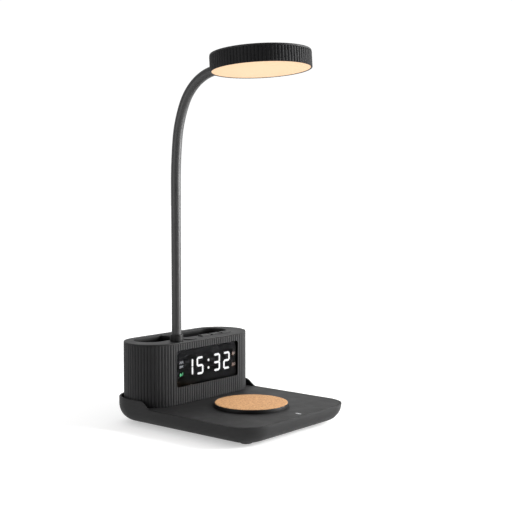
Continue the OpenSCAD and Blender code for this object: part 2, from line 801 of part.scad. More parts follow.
module buzzer() {
    color(black) translate([buzzer_x, main_y + 4, main_top]) difference() {
        cylinder(r = 6, h = 4.8);
        translate([0, 0, 3]) cylinder(r = 1.2, h = 3);
    }
}

module power_inlet() {
    color([0.75, 0.76, 0.78]) translate([0, house_back - 0.4, main_top + inlet_h / 2]) rotate([90, 0, 0]) {
        difference() {
            round_plate(inlet_w, inlet_h, 1.1, inlet_d);
            translate([0, 0, -1]) round_plate(inlet_w - 0.8, inlet_h - 0.8, 0.8, inlet_d);
        }
        translate([1.6 - inlet_w / 2, -0.35, 1]) cube([inlet_w - 3.2, 0.7, inlet_d - 1.5]);
    }
}

module key_board() {
    color(board_green) difference() {
        translate([key_board_x[0], key_board_y[0], key_board_z])
            cube([key_board_x[1] - key_board_x[0], key_board_y[1] - key_board_y[0], board_t]);
        at_points(key_post) translate([0, 0, key_board_z - 1])
            cylinder(r = small_bore + 0.1, h = board_t + 2);
    }
}

module tact_switches() {
    centres = concat([[button_x, button_y]], [for (k = [0:2]) [key_x0 + key_pitch * k, key_y - 0.5]]);
    color(black) for (c = centres) translate([c[0], c[1], switch_z]) {
        translate([-3, -3, 0]) cube([6, 6, switch_h]);
        cylinder(r = 1.7, h = plunger_top - switch_z);
    }
}

module power_button() {
    dish_r = 40;
    top = house_top + button_proud;
    color(charcoal) translate([button_x, button_y, 0]) {
        difference() {
            translate([0, 0, tab_z]) rotate_extrude() rim_section(button_r, top - tab_z, button_edge);
            translate([0, 0, top + dish_r - 0.5]) sphere(r = dish_r);
        }
        // two ears under the deck keep the button in
        intersection() {
            translate([0, 0, tab_z]) cylinder(r = button_r + 0.9, h = tab_t);
            translate([-button_r - 1, -2.5, tab_z]) cube([2 * button_r + 2, 5, tab_t]);
        }
    }
}

module key(k) {
    key_high = house_top + key_proud;
    color(charcoal) translate([key_x0 + key_pitch * k, key_y, 0]) {
        round_swept(key_w, key_d, key_corner, tab_z, key_high)
            translate([0, tab_z]) rim_section(key_corner, key_high - tab_z, key_edge);
        translate([-4, -key_d / 2 - 0.8, tab_z]) cube([8, key_d + 1.6, tab_t]);
    }
}

module key_1() { key(0); }

module key_2() { key(1); }

module key_3() { key(2); }

// ---------- neck ----------

// a round rod that follows one stretch of the neck, straight or within one bend
module neck_rod(s0, s1, r) {
    k = bend_of((s0 + s1) / 2);
    if (k < 0) translate([neck_x, neck_y, house_top + s0]) cylinder(r = r, h = s1 - s0);
    else translate([neck_x, bend_centre(k)[0], bend_centre(k)[1]]) rotate([90, 0, 90])
        rotate([0, 0, bend_lean(k) + (s0 - bend_start(k)) * 180 / PI / bend_r[k]])
            rotate_extrude(angle = (s1 - s0) * 180 / PI / bend_r[k]) translate([bend_r[k], 0]) circle(r);
}

module at_neck(s) {
    translate([neck_x, neck_at(s)[0], neck_at(s)[1]]) rotate([lean_at(s), 0, 0]) children();
}

// the lower end of a link: a cup over the ball of the link below
module core_cup(s) {
    at_neck(s) difference() {
        translate([0, 0, -socket_lip]) cylinder(r = core_r, h = socket_l + socket_lip);
        sphere(r = socket_r);
    }
}

// the upper end of a link: a stem and a ball
module core_ball(s) {
    at_neck(s) {
        translate([0, 0, -stem_l - 0.6]) cylinder(r = stem_r, h = stem_l + 0.6);
        sphere(r = ball_r);
    }
}

// link k of the steel core, from bending point k - 1 up to bending point k
module core_link(k) {
    low = joint_s(k - 1);
    high = joint_s(k);
    color(steel) difference() {
        union() {
            core_cup(low);
            neck_rod(low + socket_l - 0.4, high - stem_l, tube_r);
            core_ball(high);
        }
        neck_rod(low + 2, high - stem_l + 0.5, core_bore);
        at_neck(low) translate([0, 0, ball_r - 1]) cylinder(r = core_bore + 0.1, h = socket_l);
        at_neck(high) translate([0, 0, -stem_l - 2]) cylinder(r = core_bore - 0.1, h = stem_l + ball_r + 3);
    }
}

module core_foot() {
    low = deck_z - ferrule_drop;
    high = house_top + joint_s(0);
    color(steel) difference() {
        union() {
            translate([neck_x, neck_y, low]) cylinder(r = core_r, h = high - stem_l - low);
            core_ball(joint_s(0));
        }
        translate([neck_x, neck_y, low - 1]) cylinder(r = core_bore, h = high + ball_r + 2 - low);
    }
}

module core_tip() {
    low = joint_s(neck_joints - 1);
    color(steel) difference() {
        union() {
            core_cup(low);
            neck_rod(low + socket_l - 0.4, neck_l, tube_r);
            at_neck(neck_l) translate([0, 0, -0.5]) cylinder(r = core_r, h = head_sink + 8.5);
        }
        neck_rod(low + 2, neck_l, core_bore);
        at_neck(low) translate([0, 0, ball_r - 1]) cylinder(r = core_bore + 0.1, h = socket_l);
        at_neck(neck_l) translate([0, 0, -1]) cylinder(r = core_bore + 0.1, h = head_sink + 10);
    }
}

module core_link_1() { core_link(1); }

module core_link_2() { core_link(2); }

module core_link_3() { core_link(3); }

module core_link_4() { core_link(4); }

module core_link_5() { core_link(5); }

module core_link_6() { core_link(6); }

module core_link_7() { core_link(7); }

module core_link_8() { core_link(8); }

module core_link_9() { core_link(9); }

module core_link_10() { core_link(10); }

module core_link_11() { core_link(11); }

// stations along the neck for the soft pieces, as [y, z, lean]: only the bends need several
bend_stations = [2, 5, 12];
function station(s) = [neck_at(s)[0], neck_at(s)[1], lean_at(s)];
function past_neck(l) = station(neck_l) + [-l * sin(lean_at(neck_l)), l * cos(lean_at(neck_l)), 0];
function bend_end(k) = k < 2 ? bend_start(k + 1) : neck_l;
curved_stations = [for (k = [0:2], i = [0:bend_stations[k] - 1])
    station(bend_start(k) + (bend_end(k) - bend_start(k)) * i / bend_stations[k])];
function ring_at(t, r, sides) = [for (i = [0:sides - 1]) let (a = 360 * i / sides)
    [neck_x + r * cos(a), t[0] + r * sin(a) * cos(t[2]), t[1] + r * sin(a) * sin(t[2])]];
function rings(stations, r, sides) = [for (t = stations) each ring_at(t, r, sides)];
// triangles between the rings that start at points a and b, and the same for a whole row of rings
function band(a, b, sides) = [for (i = [0:sides - 1]) let (j = (i + 1) % sides)
    each [[a + i, b + i, b + j], [a + i, b + j, a + j]]];
function wall_faces(n, sides) = [for (k = [0:n - 2]) each band(k * sides, (k + 1) * sides, sides)];
function flipped(faces, first) = [for (f = faces) [f[2] + first, f[1] + first, f[0] + first]];

module swept_rod(stations, r, sides) {
    n = len(stations);
    top = (n - 1) * sides;
    polyhedron(points = rings(stations, r, sides), faces = concat(wall_faces(n, sides),
        [[for (i = [0:sides - 1]) i]], [[for (i = [sides - 1:-1:0]) top + i]]));
}

module swept_tube(stations, outer, inner, sides) {
    n = len(stations);
    m = n * sides;
    top = (n - 1) * sides;
    polyhedron(points = concat(rings(stations, outer, sides), rings(stations, inner, sides)),
        faces = concat(wall_faces(n, sides), flipped(wall_faces(n, sides), m),
            band(m, 0, sides), band(top, m + top, sides)));
}

module neck_sleeve() {
    stations = concat([station(0)], curved_stations, [station(neck_l), past_neck(head_sink + 5)]);
    color(black) swept_tube(stations, sleeve_r, sleeve_r - sleeve_t, 24);
}

module neck_lead() {
    stations = concat([[neck_y, main_top + plug_h, 0]], curved_stations,
        [station(neck_l), past_neck(head_sink + 19)]);
    color([0.7, 0.7, 0.7]) swept_rod(stations, lead_r, 8);
}

module neck_collar() {
    color(charcoal) translate([neck_x, neck_y, house_top]) difference() {
        rotate_extrude() rim_section(collar_r, collar_h, collar_edge);
        translate([0, 0, -1]) cylinder(r = sleeve_r + run_gap, h = collar_h + 2);
    }
}

module neck_nut() {
    color(steel) translate([neck_x, neck_y, deck_z - nut_h]) difference() {
        cylinder(r = nut_r, h = nut_h, $fn = 6);
        translate([0, 0, -1]) cylinder(r = core_r + run_gap, h = nut_h + 2);
    }
}

// ---------- light head ----------

module head_frame() {
    translate(head_at) rotate([head_lean, 0, 0]) children();
}

module head_shell() {
    color(charcoal) head_frame() difference() {
        translate([0, 0, head_low]) linear_extrude(height = head_h - head_top_t)
            polygon(fluted_circle(head_r, head_ribs));
        translate([0, 0, head_low - 1]) cylinder(r = cavity_r, h = diffuser_t + 1, $fn = 240);
        translate([0, 0, ledge_z - eps]) cylinder(r = cavity_r - head_ledge, h = head_h, $fn = 240);
        translate([0, cavity_r - 6.5, 0]) rotate([-90, 0, 0])
            cylinder(r = socket_out + run_gap, h = socket_reach + 3);
    }
}

module head_top() {
    edge = 1.2;
    rim = head_r - 0.2;
    skirt_low = head_high - head_top_t - 1.8;
    color(charcoal) head_frame() {
        translate([0, 0, head_high - head_top_t]) rotate_extrude() rim_section(rim, head_top_t, edge);
        difference() {
            translate([0, 0, skirt_low]) cylinder(r = cavity_r - head_ledge - 0.2, h = 1.8 + eps);
            translate([0, 0, skirt_low - 1]) cylinder(r = cavity_r - head_ledge - 1.7, h = 2.8);
            translate([-slot_w / 2, head_r - socket_reach - 3, skirt_low - 1])
                cube([slot_w, socket_reach + 5, 2.8]);
        }
        at_points(head_posts) translate([0, 0, led_board_z + led_board_t]) difference() {
            cylinder(r = 3, h = head_high - head_top_t - led_board_z - led_board_t + eps);
            translate([0, 0, -1]) cylinder(r = small_bore, h = 4);
        }
    }
}

module head_socket() {
    reach = socket_reach;
    color(charcoal) head_frame() translate([0, head_r - reach, 0]) rotate([-90, 0, 0]) difference() {
        union() {
            cylinder(r = socket_out, h = reach + 1.5);
            translate([0, 0, reach + 1.5]) cylinder(r1 = socket_out, r2 = sleeve_r + 0.5, h = 3);
        }
        translate([0, 0, 3.2]) cylinder(r = sleeve_r + run_gap, h = reach + 6);
        translate([0, 0, -1]) cylinder(r = core_r + run_gap, h = reach + 6);
    }
}

module led_board() {
    color([0.85, 0.86, 0.86]) head_frame() translate([0, 0, led_board_z]) difference() {
        cylinder(r = led_board_r, h = led_board_t);
        translate([0, 0, -1]) cylinder(r = 8, h = led_board_t + 2);
        at_points(head_posts) translate([0, 0, -1]) cylinder(r = small_bore + 0.1, h = led_board_t + 2);
        translate([1 - slot_w / 2, head_r - 2 * socket_reach, -1])
            cube([slot_w - 2, 2 * socket_reach + 2, led_board_t + 2]);
    }
}

module led_chips() {
    // the ring is left open where the neck comes in
    color([0.95, 0.85, 0.5]) head_frame() for (k = [0:led_count - 1]) {
        a = 90 + 360 * (k + 0.5) / led_count;
        if (abs(cos(a)) * led_ring > 10.5 || sin(a) < 0)
            rotate([0, 0, a]) translate([led_ring - 1.5, -1.4, led_board_z - 0.8]) cube([3, 2.8, 0.8]);
    }
}

module light_guide() {
    h = 2.4;
    color([0.96, 0.96, 0.95]) head_frame() translate([0, 0, guide_low]) difference() {
        cylinder(r1 = cavity_r - 1.2, r2 = cavity_r - 3, h = h);
        translate([0, 0, -eps]) cylinder(r1 = cavity_r - 2.4, r2 = cavity_r - 5, h = h + 2 * eps);
        translate([-slot_w / 2, 0, -1]) cube([slot_w, head_r, h + 2]);
    }
}

module diffuser() {
    color([0.98, 0.95, 0.86]) head_frame() translate([0, 0, head_low])
        cylinder(r = diffuser_r, h = diffuser_t - run_gap);
}

module head_screws() {
    color(steel) head_frame() at_points(head_posts)
        translate([0, 0, led_board_z - board_screw_h]) difference() {
            screw(small_screw_r, 4, board_screw_r, board_screw_h);
            cross_recess(board_screw_r);
        }
}

base_shell();
base_feet();
base_screws();
ballast_plate();
top_plate();
housing_screws();
charger_ring();
cork_pad();
charging_coil();
ferrite_disc();
charger_board();
charge_light();
charger_ribbon();
board_screws();
housing_shell();
top_deck();
display_window();
display_module();
clock_digits();
status_lights();
display_board();
display_ribbon();
main_board();
coin_cell();
cell_holder();
buzzer();
power_inlet();
key_board();
tact_switches();
power_button();
key_1();
key_2();
key_3();
neck_collar();
neck_nut();
neck_sleeve();
neck_lead();
core_foot();
core_link_1();
core_link_2();
core_link_3();
core_link_4();
core_link_5();
core_link_6();
core_link_7();
core_link_8();
core_link_9();
core_link_10();
core_link_11();
core_tip();
head_shell();
head_top();
head_socket();
led_board();
led_chips();
light_guide();
diffuser();
head_screws();
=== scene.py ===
# %% [markdown]
# # A desk lamp with a clock, a pen well and a charging pad
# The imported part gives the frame: every rigid piece has its size and place there. This notebook
# loads it, works out finer surfaces for what the eye meets first, gives every piece a finish, and
# sets a camera and soft light. All lengths are metres, +Z is up and the user sits towards -Y.

# %% Load the frame
import json
import math
import bpy
import numpy as np
from mathutils import Matrix, Vector


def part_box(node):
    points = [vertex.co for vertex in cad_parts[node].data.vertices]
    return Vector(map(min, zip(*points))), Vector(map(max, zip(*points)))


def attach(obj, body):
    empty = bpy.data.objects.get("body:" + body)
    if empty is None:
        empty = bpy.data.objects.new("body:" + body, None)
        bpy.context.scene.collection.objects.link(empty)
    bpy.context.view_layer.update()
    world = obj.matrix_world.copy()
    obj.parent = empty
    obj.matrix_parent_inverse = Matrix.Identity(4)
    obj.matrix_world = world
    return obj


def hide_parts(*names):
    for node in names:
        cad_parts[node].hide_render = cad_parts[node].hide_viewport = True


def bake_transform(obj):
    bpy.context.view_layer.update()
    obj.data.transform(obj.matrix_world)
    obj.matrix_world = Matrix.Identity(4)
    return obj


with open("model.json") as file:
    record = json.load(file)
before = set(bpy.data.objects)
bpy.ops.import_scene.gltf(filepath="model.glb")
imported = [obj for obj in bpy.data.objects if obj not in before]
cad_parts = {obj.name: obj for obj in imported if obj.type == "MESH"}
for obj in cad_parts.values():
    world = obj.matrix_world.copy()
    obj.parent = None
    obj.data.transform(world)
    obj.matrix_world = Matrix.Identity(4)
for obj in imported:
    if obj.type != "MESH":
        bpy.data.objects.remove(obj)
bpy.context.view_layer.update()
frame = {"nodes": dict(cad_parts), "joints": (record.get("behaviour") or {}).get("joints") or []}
MM = 0.001

# %% [markdown]
# ## Surfaces from whole arrays
# A moulded piece is a profile carried round an outline. The outline is kept as two arrays: the
# core, which is the line of corner centres, and the outward direction at each station. A point
# at distance rho from the core is then core + rho * outward, so one outline serves a bowl, a
# wall and a rounded edge alike, and a circle is the case where the core shrinks to a point.

# %% Outline of a block with round corners
def outline(w, d, r, corner_steps, straight_step=1.0):
    """Core and outward direction round a w by d block with corner radius r, anticlockwise: each
    corner turns 90 degrees about its own centre, and the straights join the corners. A step of a
    metre leaves the straights whole."""
    cores, outs = [], []
    centres = np.array([[1, 1], [-1, 1], [-1, -1], [1, -1]]) * [w / 2 - r, d / 2 - r]
    for k in range(4):
        angle = np.radians(90 * k + np.linspace(0, 90, corner_steps + 1))
        cores.append(np.repeat(centres[k][None], corner_steps + 1, 0))
        outs.append(np.stack([np.cos(angle), np.sin(angle)], 1))
        leg = centres[(k + 1) % 4] - centres[k]
        n = max(0, int(round(np.hypot(*leg) / straight_step)) - 1)
        t = (np.arange(n) + 1) / (n + 1)
        cores.append(centres[k] + t[:, None] * leg)
        outs.append(np.repeat(outs[-1][-1][None], n, 0))
    core, out = np.concatenate(cores), np.concatenate(outs)
    step = np.hypot(*np.diff(np.concatenate([core + r * out, (core + r * out)[:1]]), axis=0).T)
    keep = step > 1e-7
    return core[keep], out[keep]


def ring(r, steps):
    """Outline of a circle: the core is the centre itself."""
    angle = 2 * math.pi * np.arange(steps) / steps
    return np.zeros((steps, 2)), np.stack([np.cos(angle), np.sin(angle)], 1)


# %% [markdown]
# A real edge is never sharp, and the small round on it is what catches the light. So a profile
# is given by its corner points, each with its own radius, and the corners are rounded here.

# %% Profile with rounded corners
nearly_straight = 1.55


def rounded(corners, steps=5):
    """Open profile through (x, z, radius) corners: at a corner of radius q the path leaves its
    leg q * tan(half the turn) early and follows a circle that touches both legs. A corner of
    radius 0, or one that hardly turns, stays as it is."""
    c = np.array(corners, float)
    path = [c[:1, :2]]
    for before, here, after in zip(c[:-2], c[1:-1], c[2:]):
        a, b = before[:2] - here[:2], after[:2] - here[:2]
        a, b = a / np.hypot(*a), b / np.hypot(*b)
        half = 0.5 * math.acos(np.clip(a @ b, -1, 1))
        if here[2] <= 0 or half > nearly_straight:
            path.append(here[None, :2])
            continue
        middle = here[:2] + (a + b) / np.hypot(*(a + b)) * here[2] / math.sin(half)
        turn = math.pi - 2 * half
        start = here[:2] + a * here[2] / math.tan(half) - middle
        side = np.sign(start[0] * b[1] - start[1] * b[0]) or 1
        t = side * turn * np.linspace(0, 1, steps + 1)
        arc = np.stack([start[0] * np.cos(t) - start[1] * np.sin(t),
                        start[0] * np.sin(t) + start[1] * np.cos(t)], 1)
        path.append(middle + arc)
    path.append(c[-1:, :2])
    return np.concatenate(path)


def carry(line, profile):
    """Grid of points: the profile's (rho, z) at every station of an outline."""
    core, out = line
    rho = profile[..., 0]
    flat = core[:, None] + out[:, None] * np.broadcast_to(rho, (len(core), profile.shape[-2]))[..., None]
    z = np.broadcast_to(profile[..., 1], flat.shape[:2])
    return np.concatenate([flat, z[..., None]], 2)


def move(points, x=0.0, y=0.0, z=0.0):
    return points + np.array([x, y, z])


# %% [markdown]
# The grid becomes a mesh of quads, with its first and last rings closed by flat faces where the
# piece is solid. If the enclosed volume comes out negative, the faces are turned round, so they
# always point outwards.

# %% From a grid to a mesh
crisp_turn = math.radians(32)


def quads(rows, columns, along):
    """Corner indices of the quads of a grid that closes round its rows, and, if asked, along."""
    r = np.arange(rows)[:, None]
    c = np.arange(columns if along else columns - 1)[None]
    r2, c2 = (r + 1) % rows, (c + 1) % columns
    return np.stack(np.broadcast_arrays(r * columns + c, r2 * columns + c,
                                        r2 * columns + c2, r * columns + c2), -1).reshape(-1, 4)


def signed_volume(points, faces):
    """Sum over the faces' fans of the triple product of their corners, divided by six."""
    total = 0.0
    for face_set in faces:
        p = points[face_set]
        for k in range(1, face_set.shape[1] - 1):
            total += np.einsum("ij,ij->i", p[:, 0], np.cross(p[:, k], p[:, k + 1])).sum()
    return total / 6


def mesh_piece(name, points, faces):
    points = points.reshape(-1, 3)
    faces = [np.atleast_2d(f) for f in faces]
    if signed_volume(points - points.mean(0), faces) < 0:
        faces = [f[:, ::-1] for f in faces]
    mesh = bpy.data.meshes.new(name)
    mesh.from_pydata(points, [], [face.tolist() for f in faces for face in f])
    mesh.update()
    piece = bpy.data.objects.new(name, mesh)
    bpy.context.collection.objects.link(piece)
    smooth_by_angle(piece)
    return piece


def smooth_by_angle(piece):
    """Shades a mesh smooth, but keeps an edge crisp where its faces turn more than crisp_turn."""
    piece.data.shade_smooth()
    piece.data.set_sharp_from_angle(angle=crisp_turn)


def solid_of_grid(name, grid, loop=False):
    """A piece from a grid that closes round its outline: its profile is either a loop too, as on
    a wall, or its two ends are closed with flat faces, as on a block."""
    n, m = grid.shape[:2]
    faces = [quads(n, m, loop)]
    if not loop:
        faces.append(np.arange(n)[::-1] * m)
        faces.append(np.arange(n) * m + m - 1)
    return mesh_piece(name, grid, faces)


# %% [markdown]
# Each made piece is put on the body that carries it, and it stands for one piece of the packed
# part, which is then hidden. The names of those are kept, to see at the end that none is left
# without a finish.

# %% Handing a piece over
stood_for = set()


def hand_over(piece, finish, body, cad):
    """Gives a piece its finish, the body it moves with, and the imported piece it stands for."""
    piece.data.materials.append(finish)
    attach(piece, body)
    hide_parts(cad)
    stood_for.add(cad)


# %% [markdown]
# ## Finishes
# Every finish is a small node tree on Object coordinates, so it stays with the piece when the
# lamp moves. Moulded plastic gets a fine spark-eroded grain: a little bump, and a roughness that
# wanders a few percent. A colour or number that is the same everywhere sits on the shader itself.

# %% Node helpers
def fresh_finish(name, colour, roughness, metallic=0.0, **sockets):
    """A new material whose shader has its constants set on its own sockets."""
    finish = bpy.data.materials.new(name)
    finish.use_nodes = True
    shader = finish.node_tree.nodes["Principled BSDF"]
    shader.inputs["Base Color"].default_value = (*colour, 1)
    shader.inputs["Roughness"].default_value = roughness
    shader.inputs["Metallic"].default_value = metallic
    for socket, value in sockets.items():
        shader.inputs[socket.replace("_", " ")].default_value = value
    return finish, finish.node_tree, shader


def node(tree, kind, inputs=None, **settings):
    """Adds a node, sets its fields, and sets or links its inputs."""
    made = tree.nodes.new(kind)
    for field, value in settings.items():
        setattr(made, field, value)
    for socket, value in (inputs or {}).items():
        if isinstance(value, bpy.types.NodeSocket):
            tree.links.new(value, made.inputs[socket])
        else:
            made.inputs[socket].default_value = value
    return made


def place(tree):
    return node(tree, "ShaderNodeTexCoord").outputs["Object"]


def noise(tree, where, scale, detail):
    return node(tree, "ShaderNodeTexNoise", {"Vector": where, "Scale": scale, "Detail": detail,
                                             "Roughness": 0.5}).outputs["Fac"]


def spread(tree, value, low, high, out_low, out_high):
    """Straight-line change of a value from low..high to out_low..out_high, clamped."""
    return node(tree, "ShaderNodeMapRange", {"Value": value, "From Min": low, "From Max": high,
                                             "To Min": out_low, "To Max": out_high}).outputs["Result"]


def blend_colour(tree, share, first, second):
    """Mixes two colours, each of them fixed or a socket, by a share from 0 to 1."""
    made = node(tree, "ShaderNodeMix", data_type="RGBA")
    tree.links.new(share, made.inputs["Factor"])
    for socket, value in (("A", first), ("B", second)):
        target = [s for s in made.inputs if s.name == socket and s.type == "RGBA"][0]
        if isinstance(value, bpy.types.NodeSocket):
            tree.links.new(value, target)
        else:
            target.default_value = (*value, 1)
    return [s for s in made.outputs if s.type == "RGBA"][0]


def bump(tree, shader, height, distance, strength):
    made = node(tree, "ShaderNodeBump", {"Height": height, "Distance": distance, "Strength": strength})
    tree.links.new(made.outputs["Normal"], shader.inputs["Normal"])


# %% Moulded plastic, rubber and silicone
def moulded(name, colour, roughness, grain=0.00035, depth=0.00002, **sockets):
    """Grained plastic: fine noise lifts the surface, and slower noise varies gloss and shade."""
    finish, tree, shader = fresh_finish(name, colour, roughness, **sockets)
    wander, patches = 0.05, 60
    where = place(tree)
    slow = noise(tree, where, patches, 4)
    tree.links.new(spread(tree, slow, 0.3, 0.7, roughness - wander, roughness + wander),
                   shader.inputs["Roughness"])
    lighter = tuple(min(1, c * 1.18) for c in colour)
    darker = tuple(c * 0.86 for c in colour)
    fine = noise(tree, where, 1 / grain, 2)
    tree.links.new(blend_colour(tree, spread(tree, slow, 0.35, 0.65, 0, 1), darker, lighter),
                   shader.inputs["Base Color"])
    bump(tree, shader, fine, depth, 0.6)
    return finish


charcoal = moulded("charcoal_plastic", (0.0105, 0.0105, 0.0108), 0.58, Specular_IOR_Level=0.22)
charcoal_wall = moulded("charcoal_fluted_plastic", (0.0105, 0.0105, 0.011), 0.55, Specular_IOR_Level=0.2)
charcoal_deck = moulded("charcoal_deck_plastic", (0.011, 0.011, 0.0113), 0.55, Specular_IOR_Level=0.2)
charcoal_head = moulded("charcoal_head_plastic", (0.0105, 0.0105, 0.011), 0.55, depth=0.00001,
                        Specular_IOR_Level=0.06)
black_ring = moulded("black_ring_plastic", (0.005, 0.005, 0.005), 0.5, Specular_IOR_Level=0.2)
black_hidden = moulded("black_inner_plastic", (0.02, 0.02, 0.02), 0.55)
silicone = moulded("black_silicone", (0.012, 0.012, 0.0124), 0.48, grain=0.0006, Specular_IOR_Level=0.45)
foot_rubber = moulded("foot_rubber", (0.018, 0.018, 0.018), 0.8, grain=0.0005)
white_plastic = moulded("white_reflector_plastic", (0.82, 0.81, 0.78), 0.4)
clear_pipe = moulded("light_pipe_plastic", (0.55, 0.56, 0.58), 0.2)
flat_lead = moulded("flat_lead_plastic", (0.45, 0.45, 0.46), 0.45)
print("plastics made:", len(bpy.data.materials))

# %% [markdown]
# The deck's pen well is deep, and dark plastic sends hardly any light back out of it. So shade is painted
# into the deck's finish by its own height: colour and gloss fade darker in the first millimetres below the
# rim. The button and the head's top have this finish too, and what shows of them lies higher.

# %% Painted shade down in the well
fade_low, fade_high = 81.5 * MM, 85.7 * MM


def paint_well_shade(finish, colour, gloss):
    """Painted shade: straight-line change from a darker colour and gloss at fade_low to the finish's own at
    fade_high.
    """
    tree = finish.node_tree
    shader = tree.nodes["Principled BSDF"]
    height = node(tree, "ShaderNodeSeparateXYZ", {0: place(tree)}).outputs["Z"]
    open_air = spread(tree, height, fade_low, fade_high, 0, 1)
    tone = shader.inputs["Base Color"].links[0].from_socket
    tree.links.new(blend_colour(tree, open_air, colour, tone), shader.inputs["Base Color"])
    full_gloss = shader.inputs["Specular IOR Level"].default_value
    tree.links.new(spread(tree, open_air, 0, 1, gloss, full_gloss), shader.inputs["Specular IOR Level"])


# painted shade: near-black colour and little gloss inside the well, below the rim
paint_well_shade(charcoal_deck, (0.003, 0.003, 0.003), 0.03)

# %% [markdown]
# Metal parts inside are turned or pressed steel, with fine drawn lines. Boards are green or white
# solder mask over copper tracks: a brick pattern's joints give the tracks, of another tone than
# the mask and raised.

# %% Steel, copper, ferrite and circuit boards
def drawn_metal(name, colour, roughness, stretch=(60, 60, 1800)):
    """Metal with fine drawn lines: noise stretched along one axis varies gloss and height."""
    finish, tree, shader = fresh_finish(name, colour, roughness, 1.0)
    where = node(tree, "ShaderNodeMapping", {"Vector": place(tree), "Scale": stretch}).outputs[0]
    lines = noise(tree, where, 1.0, 4)
    tree.links.new(spread(tree, lines, 0.3, 0.7, roughness - 0.08, roughness + 0.1),
                   shader.inputs["Roughness"])
    bump(tree, shader, lines, 0.00001, 0.5)
    return finish


def circuit_board(name, mask, track):
    """Solder mask over tracks: a brick pattern's mortar lines stand for the copper under it."""
    finish, tree, shader = fresh_finish(name, mask, 0.32)
    where = place(tree)
    lines = node(tree, "ShaderNodeTexBrick", {"Vector": where, "Scale": 120.0, "Mortar Size": 0.12,
                                              "Color1": (0, 0, 0, 1), "Color2": (0, 0, 0, 1),
                                              "Mortar": (1, 1, 1, 1)}).outputs["Color"]
    tree.links.new(blend_colour(tree, lines, mask, track), shader.inputs["Base Color"])
    bump(tree, shader, lines, 0.00003, 0.5)
    return finish


steel = drawn_metal("plain_steel", (0.56, 0.57, 0.58), 0.34)
ballast_steel = drawn_metal("rolled_steel", (0.38, 0.39, 0.40), 0.5, (900, 40, 40))
copper = drawn_metal("enamelled_copper", (0.68, 0.32, 0.14), 0.3, (300, 300, 300))
ferrite = moulded("ferrite", (0.06, 0.055, 0.055), 0.6, grain=0.0008)
green_board = circuit_board("green_circuit_board", (0.015, 0.12, 0.04), (0.03, 0.2, 0.07))
white_board = circuit_board("white_circuit_board", (0.72, 0.73, 0.72), (0.62, 0.63, 0.62))

# %% [markdown]
# The cork disc is pressed from crumbs. A cell pattern gives each crumb its own tan and lifts the
# surface a little at the joints between crumbs. The dark specks are bark.

# %% Pressed cork
def pressed_cork(name):
    """Crumbs of about 1.4 mm: a cell pattern picks each crumb's tone, and noise adds dark bark
    and, with the same pattern taken elsewhere, pale specks."""
    finish, tree, shader = fresh_finish(name, (0.6, 0.38, 0.2), 0.82)
    where = place(tree)
    cells = node(tree, "ShaderNodeTexVoronoi", {"Vector": where, "Scale": 720.0})
    tone = node(tree, "ShaderNodeSeparateColor", {"Color": cells.outputs["Color"]}).outputs[0]
    tan = blend_colour(tree, tone, (0.38, 0.19, 0.075), (0.53, 0.29, 0.125))
    bark = spread(tree, noise(tree, where, 520, 2), 0.60, 0.68, 0, 1)
    specked = blend_colour(tree, bark, tan, (0.19, 0.085, 0.032))
    apart = (0.37, 0.21, 0.13)
    elsewhere = node(tree, "ShaderNodeMapping", {"Vector": where, "Location": apart}).outputs[0]
    pale = spread(tree, noise(tree, elsewhere, 640, 2), 0.60, 0.70, 0, 1)
    tree.links.new(blend_colour(tree, pale, specked, (0.62, 0.385, 0.19)), shader.inputs["Base Color"])
    bump(tree, shader, cells.outputs["Distance"], 0.00012, 0.5)
    return finish


cork = pressed_cork("pressed_cork")

# %% [markdown]
# The clock hides behind a smoked window, so dark that only what is lit shows through. The pane only
# dims: all light passes, tinted, and none is turned back. The black face close behind it is the
# glossy one. It mirrors or swallows what reaches it, so the picture stays nearly free of grain.

# %% Smoked window and lit segments
def smoked_window(name):
    """Tinted glass: a refraction index of one, so the light goes straight on, dimmed by the tint."""
    finish, tree, shader = fresh_finish(name, (0.30, 0.30, 0.31), 0.0, IOR=1.0, Transmission_Weight=1.0)
    smears = noise(tree, place(tree), 60, 2)
    tree.links.new(blend_colour(tree, smears, (0.29, 0.29, 0.30), (0.31, 0.31, 0.32)),
                   shader.inputs["Base Color"])
    return finish


def black_mirror(name):
    """Even gloss and no relief, so the mirror image isn't torn. Only the black varies a little."""
    finish, tree, shader = fresh_finish(name, (0.002, 0.002, 0.002), 0.03, Specular_IOR_Level=0.9)
    cloud = noise(tree, place(tree), 80, 2)
    tree.links.new(blend_colour(tree, cloud, (0.001, 0.001, 0.001), (0.003, 0.003, 0.003)),
                   shader.inputs["Base Color"])
    return finish


def lit(name, colour, strength, body=(0.9, 0.9, 0.9)):
    """A glowing finish: its light varies by a few percent, as behind a moulded lens."""
    finish, tree, shader = fresh_finish(name, body, 0.4)
    where = place(tree)
    cloud = spread(tree, noise(tree, where, 350, 2), 0.3, 0.7, 0.94, 1.0)
    tree.links.new(blend_colour(tree, cloud, tuple(0.9 * c for c in colour), colour),
                   shader.inputs["Emission Color"])
    shader.inputs["Emission Strength"].default_value = strength
    return finish


window_finish = smoked_window("smoked_window")
segment_finish = lit("segment_white", (1.0, 1.0, 0.97), 3.0)
module_finish = black_mirror("display_module_black")
mark_white = lit("mark_white", (0.75, 0.78, 0.8), 1.3)
mark_green = lit("mark_green", (0.01, 0.75, 0.20), 1.8)
mark_amber = lit("mark_amber", (0.60, 0.29, 0.12), 0.8)
led_finish = lit("led_phosphor", (1.0, 0.86, 0.6), 4.0, (0.9, 0.75, 0.3))

# %% [markdown]
# The light head's disc is opal acrylic: the diodes behind it can't be told apart, and it glows
# evenly. The glow is set on the shader itself, because light that had to find its way through
# the disc would make the picture grainy.

# %% Opal acrylic
head_centre = (-38.8 * MM, -74.1 * MM)


